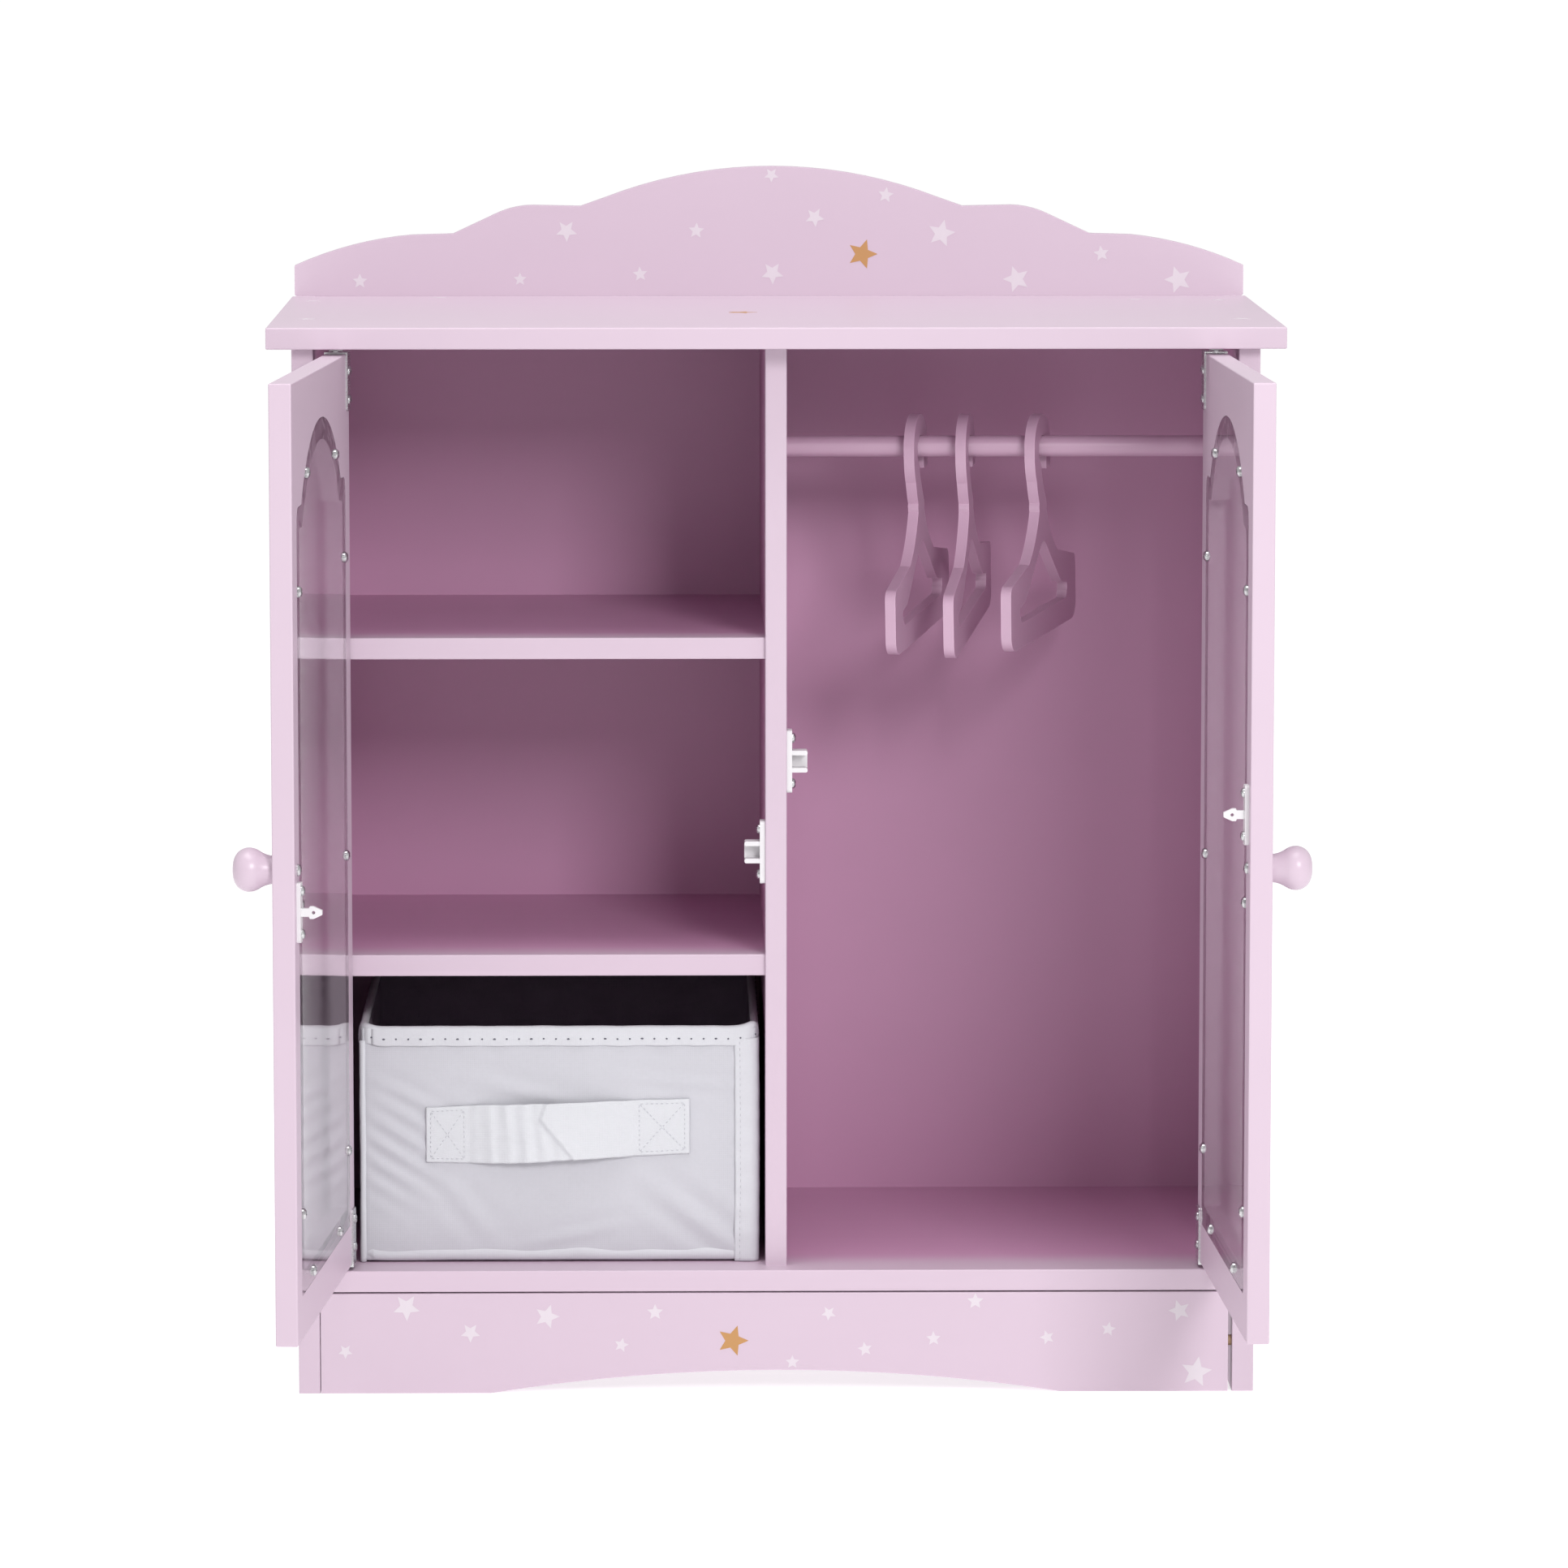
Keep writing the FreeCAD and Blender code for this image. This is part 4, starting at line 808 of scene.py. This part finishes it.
@dataclass
class StarPrints:
    """Every printed star on the crest, the plinth and the top."""

    def faces(self) -> list[PrintedFace]:
        """Returns the printed surfaces, placed from the frame's own boards."""
        right, back, up = Vector((1, 0, 0)), Vector((0, 1, 0)), Vector((0, 0, 1))
        crest_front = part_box("crest_board")[0].y
        top_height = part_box("top_board")[1].z
        plinth_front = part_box("plinth_board")[0].y
        return [
            PrintedFace(
                "crest", "carcass", Vector((0, crest_front, top_height)), right, up, CREST_WHITE, CREST_GOLD
            ),
            PrintedFace(
                "plinth", "carcass", Vector((0, plinth_front, 0)), right, up, PLINTH_WHITE, PLINTH_GOLD
            ),
            PrintedFace("top", "carcass", Vector((0, 0, top_height)), right, back, TOP_WHITE, TOP_GOLD),
        ]

    def build(self) -> None:
        """Prints every surface."""
        for face in self.faces():
            face.build()


# ---------------------------------------------------------------- storage bin


@dataclass(frozen=True)
class Crease:
    """A run of soft folds in stretched cloth, in millimetres from the panel's lower left corner."""

    x_mm: float
    z_mm: float
    slope_deg: float
    reach_mm: float
    spread_mm: float
    pitch_mm: float
    height_mm: float

    def lift(self, x_mm: float, z_mm: float) -> float:
        """Finds how far the folds stand out at a point, in millimetres.

        Args:
            x_mm: Millimetres from the panel's left edge.
            z_mm: Millimetres from its lower edge.

        Returns:
            The height of the folds.
        """
        angle = math.radians(self.slope_deg)
        dx, dz = x_mm - self.x_mm, z_mm - self.z_mm
        along = dx * math.cos(angle) + dz * math.sin(angle)
        across = dz * math.cos(angle) - dx * math.sin(angle)
        fade = math.exp(-((along / self.reach_mm) ** 2) - (across / self.spread_mm) ** 2)
        return self.height_mm * fade * math.cos(2.0 * math.pi * across / self.pitch_mm)


@dataclass(frozen=True)
class RoundedRing:
    """The line round a box seen from above, from the left end of its front, anticlockwise."""

    low_x: float
    high_x: float
    low_y: float
    high_y: float
    radius: float

    def length(self) -> float:
        """Returns the whole way round."""
        straight = 2.0 * (self.high_x - self.low_x + self.high_y - self.low_y) - 8.0 * self.radius
        return straight + 2.0 * math.pi * self.radius

    def at(self, share: float) -> tuple[Vector, Vector]:
        """Finds a point on the line.

        Args:
            share: The share of the way round, from 0 to 1.

        Returns:
            The point at height 0 and the outward direction there.
        """
        r = self.radius
        corner = math.pi * r / 2.0
        starts = (
            (Vector((self.low_x + r, self.low_y, 0.0)), Vector((1, 0, 0))),
            (Vector((self.high_x, self.low_y + r, 0.0)), Vector((0, 1, 0))),
            (Vector((self.high_x - r, self.high_y, 0.0)), Vector((-1, 0, 0))),
            (Vector((self.low_x, self.high_y - r, 0.0)), Vector((0, -1, 0))),
        )
        left = (share % 1.0) * self.length()
        for number, (start, run) in enumerate(starts):
            side = (self.high_x - self.low_x if number % 2 == 0 else self.high_y - self.low_y) - 2.0 * r
            out = Vector((run.y, -run.x, 0.0))
            if left <= side:
                return start + run * left, out
            left -= side
            if left <= corner:
                angle = left / r
                facing = out * math.cos(angle) + run * math.sin(angle)
                return start + run * side - out * r + facing * r, facing
            left -= corner
        return starts[0][0], Vector((0, -1, 0))


@dataclass
class StorageBin:
    """The open cloth bin: stiffened covers, bindings, a stitched hem, a lining and a sewn handle."""

    body: str = "storage_bin"
    slot: str = "white_fabric"
    cell: float = 1.6 * MM
    cloth: float = 0.7 * MM
    inset: float = 1.0 * MM
    hem_height: float = 9.0 * MM
    hem_half: float = 2.2 * MM
    front_creases: tuple[Crease, ...] = (
        Crease(18.0, 62.0, -32.0, 26.0, 26.0, 10.5, 0.8),
        Crease(30.0, 92.0, -24.0, 26.0, 9.0, 12.0, 0.55),
        Crease(92.0, 96.0, -13.0, 34.0, 9.0, 17.0, 0.8),
        Crease(180.0, 101.0, -5.0, 30.0, 8.0, 11.0, 0.5),
        Crease(190.0, 22.0, -38.0, 32.0, 18.0, 19.0, 1.1),
        Crease(118.0, 14.0, 12.0, 26.0, 8.0, 14.0, 0.7),
        Crease(60.0, 30.0, -50.0, 24.0, 16.0, 18.0, 0.55),
    )
    side_creases: tuple[Crease, ...] = (
        Crease(45.0, 70.0, -28.0, 40.0, 26.0, 18.0, 0.6),
        Crease(160.0, 45.0, 22.0, 46.0, 24.0, 21.0, 0.6),
    )

    def __post_init__(self) -> None:
        """Takes the bin's outer size from the frame."""
        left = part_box("bin_left_panel")[0]
        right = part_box("bin_right_panel")[1]
        self.low = Vector((left.x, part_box("bin_front_panel")[0].y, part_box("bin_floor_panel")[0].z))
        self.high = Vector((right.x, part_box("bin_back_panel")[1].y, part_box("bin_front_panel")[1].z))

    def wrinkled(self, creases: Sequence[Crease], seed: float, x: float, z: float) -> float:
        """Returns how far a cover stands out at a point.

        Args:
            creases: The cover's runs of folds.
            seed: Picks the cover's own small unevenness.
            x: Metres from the cover's left edge.
            z: Metres from its lower edge.

        Returns:
            The distance outwards.
        """
        x_mm, z_mm = x / MM, z / MM
        folds = sum(crease.lift(x_mm, z_mm) for crease in creases)
        slack = 0.35 * ripple(x_mm, z_mm, 38.0, seed) + 0.12 * ripple(x_mm, z_mm, 11.0, seed + 5.0)
        return (folds + slack) * MM

    def cover(self, name: str, node: str, start: Vector, run: Vector, width: float, seed: float) -> None:
        """Makes one wall's cover.

        Args:
            name: The piece's name.
            node: The frame node that it stands for.
            start: The cover's lower left corner, seen from outside.
            run: The way from its left edge to its right edge.
            width: Its width.
            seed: Picks its own unevenness.
        """
        height = self.high.z - self.low.z - 2.0 * MM
        out = Vector((run.y, -run.x, 0.0))
        creases = self.front_creases if node == "bin_front_panel" else self.side_creases

        def place(across: float, up: float) -> Vector:
            """Finds the cloth's point: slightly crowned, wrinkled, and turned in at its edges.

            Args:
                across: The share across the cut, from 0 to 1.
                up: The share up it, from 0 to 1.

            Returns:
                The point.
            """
            x, z = across * width, up * height
            near = min(x, width - x)
            hold = smooth_step(near / (9.0 * MM)) * smooth_step(min(z, height - z) / (8.0 * MM))
            crown = 0.5 * MM * math.sin(math.pi * across) * math.sin(math.pi * up)
            lift = crown + hold * self.wrinkled(creases, seed, x, z)
            tuck = 1.3 * MM * (1.0 - smooth_step(near / (3.0 * MM)))
            return start + run * x + Vector((0, 0, z)) + out * (lift - tuck)

        columns, rows = round(width / self.cell), round(height / self.cell)
        piece = finished_piece(
            cloth_grid(columns, rows, (width, height), place), name, self.body, COVER_CLOTH
        )
        thicken(piece, self.cloth)
        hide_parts(node)

    def build_covers(self) -> None:
        """Makes the covers of the front, right, back and left walls."""
        low, high, inset = self.low, self.high, self.inset
        z = low.z + 1.0 * MM
        wide = high.x - low.x - 2.0 * inset
        deep = high.y - low.y - 2.0 * inset
        left, right = low.x + inset, high.x - inset
        front, back = low.y + inset, high.y - inset
        walls = (
            ("front", Vector((left, front, z)), Vector((1, 0, 0)), wide),
            ("right", Vector((right, front, z)), Vector((0, 1, 0)), deep),
            ("back", Vector((right, back, z)), Vector((-1, 0, 0)), wide),
            ("left", Vector((left, back, z)), Vector((0, -1, 0)), deep),
        )
        for seed, (side, start, run, width) in enumerate(walls, start=1):
            self.cover(f"bin_{side}_cover", f"bin_{side}_panel", start, run, width, float(seed))

    def build_lining(self) -> None:
        """Makes the dark lining as one open box with soft corners, and the cover under the floor."""
        wall = 3.0 * MM
        low = self.low + Vector((wall, wall, 3.0 * MM))
        high = self.high - Vector((wall, wall, 1.6 * MM))
        size, middle = high - low, (high + low) / 2.0
        work = bmesh.new()
        fit = Matrix.Translation(middle) @ Matrix.Diagonal((*size, 1.0))
        bmesh.ops.create_cube(work, size=1.0, matrix=fit)
        lids = [face for face in work.faces if face.normal.z > 0.9]
        bmesh.ops.delete(work, geom=lids, context="FACES")
        bmesh.ops.reverse_faces(work, faces=work.faces[:])
        folds = [edge for edge in work.edges if len(edge.link_faces) == 2]
        bmesh.ops.bevel(
            work,
            geom=folds,
            offset=5.0 * MM,
            offset_type="OFFSET",
            affect="EDGES",
            segments=4,
            profile=0.5,
            material=-1,
        )
        bmesh.ops.subdivide_edges(work, edges=work.edges[:], cuts=5, use_grid_fill=True)
        cloth_map = work.loops.layers.uv.new("cloth")
        for face in work.faces:
            for loop in face.loops:
                point = loop.vert.co
                sideways = abs(face.normal.x) > abs(face.normal.y)
                u = point.y if sideways else point.x
                v = point.z if abs(face.normal.z) < 0.7 else point.y
                loop[cloth_map].uv = (u, v)
        for vertex in work.verts:
            point = vertex.co
            sag = 0.5 * MM * ripple(point.x + point.y, point.z, 34.0 * MM, 9.0)
            vertex.co = point + (middle - point).normalized() * (0.5 * MM + sag)
        piece = finished_piece(work, "bin_lining", self.body, LINING_CLOTH)
        thicken(piece, 0.6 * MM)

        low, high = self.low, self.high
        flat = (high.x - low.x - 6.0 * MM, high.y - low.y - 6.0 * MM)

        def place(across: float, up: float) -> Vector:
            """Finds the floor's point, seen from below, resting flat on the board.

            Args:
                across: The share across the cut, from 0 to 1.
                up: The share up it, from 0 to 1.

            Returns:
                The point.
            """
            wave = 0.15 * MM * (1.0 + ripple(across * 6.0, up * 6.0, 1.0, 12.0))
            x = high.x - 3.0 * MM - across * flat[0]
            return Vector((x, low.y + 3.0 * MM + up * flat[1], low.z + 0.4 * MM + wave))

        floor = finished_piece(cloth_grid(36, 36, flat, place), "bin_floor_cover", self.body, COVER_CLOTH)
        thicken(floor, 1.6 * MM)
        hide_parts("bin_floor_panel")

    def ring(self, grow: float) -> RoundedRing:
        """Returns the line round the bin's walls, moved out by a distance."""
        low, high = self.low, self.high
        return RoundedRing(low.x - grow, high.x + grow, low.y - grow, high.y + grow, 5.0 * MM)

    def corner_nearness(self, point: Vector) -> float:
        """Finds how near a point is to a vertical corner: 1 at it, and 0 a few millimetres away.

        Args:
            point: The point to test.

        Returns:
            The nearness, from 0 to 1.
        """
        dx = min(abs(point.x - self.low.x), abs(point.x - self.high.x))
        dy = min(abs(point.y - self.low.y), abs(point.y - self.high.y))
        return math.exp(-((dx * dx + dy * dy) / (7.0 * MM) ** 2))

    def build_hem(self) -> None:
        """Makes the hem that folds over the rim, and dark beads of painted shade for its row of needle
        holes.
        """
        half, tall = self.hem_half, self.hem_height
        ring = self.ring(-half)
        fold = math.pi * half
        profile = tall + fold + 1.2 * MM

        def place(round_share: float, over: float) -> Vector:
            """Finds the hem's point: up the outside, over the rim and down the inside.

            Args:
                round_share: The share of the way round the bin, from 0 to 1.
                over: The share across the strip, from 0 to 1.

            Returns:
                The point.
            """
            point, out = ring.at(round_share)
            ears = 3.4 * MM * self.corner_nearness(point)
            pucker = 0.28 * MM * math.sin(round_share * ring.length() / (3.55 * MM))
            waver = 0.5 * MM * ripple(round_share * 60.0, 0.0, 1.0, 21.0)
            rim = self.high.z - half + ears + waver
            run = over * profile
            if run < tall:
                roll = math.sin(math.pi * run / tall)
                depth = half + 0.35 * MM * roll + pucker * (1.0 - run / tall)
                return point + out * depth + Vector((0, 0, rim - tall + run))
            if run < tall + fold:
                angle = (run - tall) / half
                height = rim + half * math.sin(angle)
                return point + out * (half * math.cos(angle)) + Vector((0, 0, height))
            down = run - tall - fold
            return point - out * half + Vector((0, 0, rim - down))

        columns = round(ring.length() / (1.8 * MM))
        work = cloth_grid(columns, 26, (ring.length(), profile), place)
        hem = finished_piece(work, "bin_rim_hem", self.body, BINDING_CLOTH)
        thicken(hem, self.cloth)

        # Painted shade: dark grey beads stand in for the shadow inside each needle hole.
        holes = bmesh.new()
        pitch = 6.9 * MM
        for number in range(int(ring.length() / pitch)):
            share = number * pitch / ring.length()
            point = place(share, 0.45 * tall / profile)
            _, out = ring.at(share)
            run = Vector((-out.y, out.x, 0.0))
            strong = number % 3 == 1
            add_stitch(holes, point + out * 0.02 * MM, run, (1.9 if strong else 1.3) * MM, 1.0 * MM)
        piece = finished_piece(holes, "bin_rim_needle_hole_shade", self.body, NEEDLE_HOLE_SHADE)

    def build_left_binding(self) -> None:
        """Makes the narrow rolled binding down the front left corner, and those of the back corners."""
        tall = self.high.z - self.low.z - self.hem_height + 1.0 * MM
        spots = (
            ("bin_left_binding", self.low.x + 2.0 * MM, self.low.y + 1.8 * MM),
            ("bin_back_left_binding", self.low.x + 2.0 * MM, self.high.y - 1.8 * MM),
            ("bin_back_right_binding", self.high.x - 2.0 * MM, self.high.y - 1.8 * MM),
        )
        for number, (name, x, y) in enumerate(spots):

            def place(around: float, up: float, x: float = x, y: float = y, seed: int = number) -> Vector:
                """Finds the roll's point, a little flattened and uneven.

                Args:
                    around: The share of the way round the roll, from 0 to 1.
                    up: The share up it, from 0 to 1.
                    x: The roll's middle across the front.
                    y: The roll's middle from front to back.
                    seed: Picks the roll's own unevenness.

                Returns:
                    The point.
                """
                angle = 2.0 * math.pi * around
                z = up * tall
                size = 1.75 * MM + 0.3 * MM * ripple(z / MM, 0.0, 16.0, 30.0 + seed)
                drift = 0.35 * MM * ripple(z / MM, 4.0, 42.0, 33.0 + seed)
                return Vector(
                    (x + drift + size * math.cos(angle), y + size * math.sin(angle), self.low.z + z)
                )

            work = cloth_grid(14, round(tall / (2.4 * MM)), (11.0 * MM, tall), place)
            rims = [edge for edge in work.edges if edge.is_boundary]
            bmesh.ops.holes_fill(work, edges=rims, sides=0)
            piece = finished_piece(work, name, self.body, BINDING_CLOTH)

    def build_right_binding(self) -> None:
        """Makes the wide seamed band that wraps the front right corner, with its one stitched line."""
        tall = self.high.z - self.low.z - self.hem_height + 2.0 * MM
        corner = Vector((self.high.x - 0.6 * MM, self.low.y + 0.6 * MM, self.low.z))
        face, side = 13.0 * MM, 9.0 * MM
        width = face + side

        def place(across: float, up: float) -> Vector:
            """Finds the band's point: along the front, round the corner and along the side.

            Args:
                across: The share across the cut, from 0 to 1.
                up: The share up it, from 0 to 1.

            Returns:
                The point.
            """
            z = up * tall
            run = across * width
            wander = 0.6 * MM * ripple(z / MM, 0.0, 30.0, 41.0)
            crown = 0.9 * MM * math.sin(math.pi * across) ** 0.7
            pucker = 0.22 * MM * math.sin(z / (2.1 * MM)) * (1.0 - across)
            bow = 0.9 * MM * math.sin(math.pi * min(1.0, up * 1.05))
            bow += 0.3 * MM * ripple(z / MM, 3.0, 22.0, 44.0)
            turn = smooth_step((run - face + 3.0 * MM) / (6.0 * MM)) * math.pi / 2.0
            if run < face:
                base = corner + Vector((run - face + wander, 0.0, z))
            else:
                base = corner + Vector((0.0, run - face, z))
            out = Vector((math.sin(turn), -math.cos(turn), 0.0))
            ease = Vector((-1.0, 1.0, 0.0)) * 1.1 * MM * math.exp(-(((run - face) / (2.2 * MM)) ** 2))
            return base + out * (0.5 * MM + crown * 0.7 + pucker) + ease + Vector((bow * 0.35, 0.0, 0.0))

        columns, rows = round(width / (1.1 * MM)), round(tall / (1.6 * MM))
        work = cloth_grid(columns, rows, (width, tall), place)
        band = finished_piece(work, "bin_right_binding", self.body, BINDING_CLOTH)
        thicken(band, self.cloth)

        stitches = bmesh.new()
        pitch = 3.4 * MM
        for number in range(int(tall / pitch)):
            up = (number + 0.5) * pitch / tall
            point = place(0.14, up)
            middle = point + Vector((0.0, -0.05 * MM, 0.0))
            add_stitch(stitches, middle, Vector((0, 0, 1)), 2.1 * MM, 0.42 * MM)
        seam = finished_piece(stitches, "bin_right_seam_stitches", self.body, WHITE_THREAD)

    def build_bottom_binding(self) -> None:
        """Makes the thick wavy binding round the bottom edge."""
        ring = self.ring(-2.6 * MM)

        def place(round_share: float, over: float) -> Vector:
            """Finds the binding's point on its flattened, wandering roll.

            Args:
                round_share: The share of the way round the bin, from 0 to 1.
                over: The share across the strip, from 0 to 1.

            Returns:
                The point.
            """
            point, out = ring.at(round_share)
            run_mm = round_share * ring.length() / MM
            high = 3.5 * MM + 1.2 * MM * ripple(run_mm, 0.0, 26.0, 51.0)
            deep = 2.5 * MM + 0.35 * MM * ripple(run_mm, 5.0, 18.0, 53.0)
            rise = 0.9 * MM * (1.0 + ripple(run_mm, 9.0, 55.0, 55.0)) * 0.6
            rise += 1.4 * MM * self.corner_nearness(point)
            angle = 2.0 * math.pi * over - math.pi / 2.0
            z = self.low.z + rise + high + high * math.sin(angle)
            return point + out * (deep * math.cos(angle)) + Vector((0, 0, z))

        columns = round(ring.length() / (2.2 * MM))
        work = cloth_grid(columns, 14, (ring.length(), 19.0 * MM), place)
        piece = finished_piece(work, "bin_bottom_binding", self.body, BINDING_CLOTH)

    def build_handle(self) -> None:
        """Makes the sewn handle: two stitched ends, a slack middle with tucks and one twisted fold."""
        low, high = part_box("bin_handle_strap")
        long, tall = high.x - low.x, 31.0 * MM
        middle_z = (low.z + high.z) / 2.0
        face = self.low.y + self.inset - 1.5 * MM
        left_end, right_end = 0.165, 0.79

        def slack(across: float) -> float:
            """Returns how far the strap's middle stands off, as a share."""
            share = (across - left_end) / (right_end - left_end)
            return math.sin(math.pi * min(1.0, max(0.0, share))) ** 0.85

        def place(across: float, up: float) -> Vector:
            """Finds the strap's point.

            Args:
                across: The share across the cut, from 0 to 1.
                up: The share up it, from 0 to 1.

            Returns:
                The point.
            """
            free = slack(across)
            if up < 0.72:
                fold_at = 0.435 + 0.125 * (1.0 - up / 0.72)
            else:
                fold_at = 0.435 + 0.02 * (up - 0.72) / 0.28
            past = across - fold_at
            if past >= 0.0:
                fold = 1.3 * MM * math.exp(-past / 0.1)
            else:
                fold = 1.3 * MM * math.exp(past / 0.007) - 0.5 * MM * math.exp(past / 0.04)
            tucks = 0.42 * MM * math.sin(2.0 * math.pi * (across - left_end) / 0.068 + 1.3 * up)
            tucks *= 1.0 + 0.8 * ripple(across * 30.0, up * 1.5, 1.0, 67.0)
            tucks *= smooth_step((across - left_end) / 0.04) * smooth_step((fold_at - across) / 0.05)
            small = 0.16 * MM * ripple(across * 156.0, up * 31.0, 7.0, 61.0)
            lift = 5.4 * MM * free + fold * min(1.0, free * 1.6) + tucks * min(1.0, free * 2.0) + small
            lean = (0.5 - up) * 1.5 * MM * free
            slope = (across - 0.5) * 4.6 * MM
            sag = -1.1 * MM * math.sin(math.pi * min(1.0, across / 0.55)) * (1.0 - up)
            edge = 0.35 * MM * ripple(across * 156.0, round(up) * 40.0, 14.0, 63.0)
            z = middle_z + (up - 0.5) * (tall + 1.2 * MM * math.sin(math.pi * across)) + slope + sag + edge
            return Vector((low.x + across * long, face - lift - lean, z))

        columns, rows = round(long / (1.0 * MM)), round(tall / (1.0 * MM))
        work = cloth_grid(columns, rows, (long, tall), place)
        strap = finished_piece(work, "bin_handle_band", self.body, STRAP_CLOTH)
        thicken(strap, 0.9 * MM)
        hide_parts("bin_handle_strap")

        stitches = bmesh.new()
        for first, last in ((0.018, left_end - 0.02), (right_end + 0.02, 0.982)):
            self.sew_box(stitches, place, first, last, long, tall)
        sewing = finished_piece(stitches, "bin_handle_stitches", self.body, WHITE_THREAD)

    def sew_box(
        self,
        work: bmesh.types.BMesh,
        place: Place,
        first: float,
        last: float,
        long: float,
        tall: float,
    ) -> None:
        """Sews a box with a cross in it.

        Args:
            work: The bmesh to add stitches to.
            place: The cloth's own surface.
            first: The box's left side, as a share of the strap.
            last: Its right side.
            long: The strap's length.
            tall: The strap's width.
        """
        bottom, top = 0.07, 0.93
        corners = ((first, bottom), (last, bottom), (last, top), (first, top))
        lines = [(corners[n], corners[(n + 1) % 4]) for n in range(4)]
        lines += [(corners[0], corners[2]), (corners[1], corners[3])]
        for (s0, t0), (s1, t1) in lines:
            run = math.hypot((s1 - s0) * long, (t1 - t0) * tall)
            count = max(2, round(run / (2.7 * MM)))
            for number in range(count):
                share = (number + 0.5) / count
                middle = place(s0 + (s1 - s0) * share, t0 + (t1 - t0) * share)
                way = Vector(((s1 - s0) * long, 0.0, (t1 - t0) * tall)).normalized()
                add_stitch(work, middle + Vector((0.0, -0.08 * MM, 0.0)), way, 1.7 * MM, 0.45 * MM)

    def build(self) -> None:
        """Makes the whole bin, lining first."""
        self.build_lining()
        self.build_covers()
        self.build_hem()
        self.build_left_binding()
        self.build_right_binding()
        self.build_bottom_binding()
        self.build_handle()


# ---------------------------------------------------------------- studio


@dataclass(frozen=True)
class Lamp:
    """One soft light: its name, place, width and height, and power in watts."""

    name: str
    spot: tuple[float, float, float]
    size: tuple[float, float]
    power: float


@dataclass
class Studio:
    """The floor, the light and the camera."""

    lamps: tuple[Lamp, ...] = (
        Lamp("key_light", (0.92, -2.8, 1.62), (0.8, 0.8), 45.0),
        Lamp("top_light", (-0.3, -0.4, 3.0), (2.0, 1.4), 46.0),
    )

    eye: Vector = field(default_factory=lambda: Vector((-0.0603, -4.2486, 0.8568)))
    aim: Vector = field(default_factory=lambda: Vector((0.0042, 0.0, 0.3436)))
    lens_mm: float = 176.9
    world_fill: float = 0.6
    floor_glow: float = 0.64

    def build_camera(self) -> None:
        """Places the camera and makes it the scene's own."""
        data = bpy.data.cameras.new("front_camera")
        data.lens = self.lens_mm
        data.sensor_width = 36.0
        data.clip_start, data.clip_end = 0.1, 60.0
        camera = bpy.data.objects.new("front_camera", data)
        bpy.context.scene.collection.objects.link(camera)
        camera.location = self.eye
        camera.rotation_mode = "QUATERNION"
        camera.rotation_quaternion = (self.aim - self.eye).to_track_quat("-Z", "Y")
        bpy.context.scene.camera = camera

    def build_world(self) -> None:
        """Makes a white surround that shows as white and lights more softly than it shows."""
        world = bpy.data.worlds.new("white_studio")
        bpy.context.scene.world = world
        world.use_nodes = True
        wiring = Wiring(world.node_tree)
        path = wiring.add("ShaderNodeLightPath")
        seen = wiring.math("MAXIMUM", path.outputs["Is Camera Ray"], path.outputs["Is Transmission Ray"])
        strength = wiring.span(seen, self.world_fill, 1.05)
        light = wiring.add("ShaderNodeBackground", {"Color": (1, 1, 1, 1), "Strength": strength})
        out = wiring.add("ShaderNodeOutputWorld")
        wiring.tree.links.new(light.outputs[0], out.inputs["Surface"])

    def build_floor(self) -> None:
        """Lays a plain pale floor that carries on past the view."""
        work = bmesh.new()
        bmesh.ops.create_grid(work, x_segments=4, y_segments=4, size=30.0)
        mesh = bpy.data.meshes.new("studio_floor")
        work.to_mesh(mesh)
        work.free()
        floor = bpy.data.objects.new("studio_floor", mesh)
        bpy.context.scene.collection.objects.link(floor)
        material = bpy.data.materials.new("studio_floor_paper")
        material.use_nodes = True
        shader = material.node_tree.nodes["Principled BSDF"]
        shader.inputs["Base Color"].default_value = (0.62, 0.62, 0.62, 1.0)
        shader.inputs["Roughness"].default_value = 0.9
        shader.inputs["Specular IOR Level"].default_value = 0.0
        shader.inputs["Emission Color"].default_value = (1.0, 1.0, 1.0, 1.0)
        shader.inputs["Emission Strength"].default_value = self.floor_glow
        mesh.materials.append(material)

    def add_lamp(self, lamp: Lamp) -> None:
        """Adds one soft light that faces the wardrobe.

        Args:
            lamp: The light to add.
        """
        data = bpy.data.lights.new(lamp.name, "AREA")
        data.shape = "RECTANGLE"
        data.size, data.size_y = lamp.size
        data.energy = lamp.power
        holder = bpy.data.objects.new(lamp.name, data)
        bpy.context.scene.collection.objects.link(holder)
        spot = Vector(lamp.spot)
        holder.location = spot
        holder.rotation_mode = "QUATERNION"
        holder.rotation_quaternion = (Vector((0.0, 0.1, 0.32)) - spot).to_track_quat("-Z", "Y")
        holder.visible_camera = False

    def build(self) -> None:
        """Makes the whole studio."""
        bpy.context.scene.view_settings.view_transform = "Standard"
        self.build_camera()
        self.build_world()
        self.build_floor()
        for lamp in self.lamps:
            self.add_lamp(lamp)


def main() -> None:
    """Builds the studio and every piece of the wardrobe in order."""
    logging.basicConfig(level=logging.INFO, format="%(name)s: %(message)s")
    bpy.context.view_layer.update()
    for part in (Studio(), Joinery(), StarPrints(), StorageBin()):
        part.build()
        log.info("%s is done", type(part).__name__)


if __name__ == "__main__":
    main()
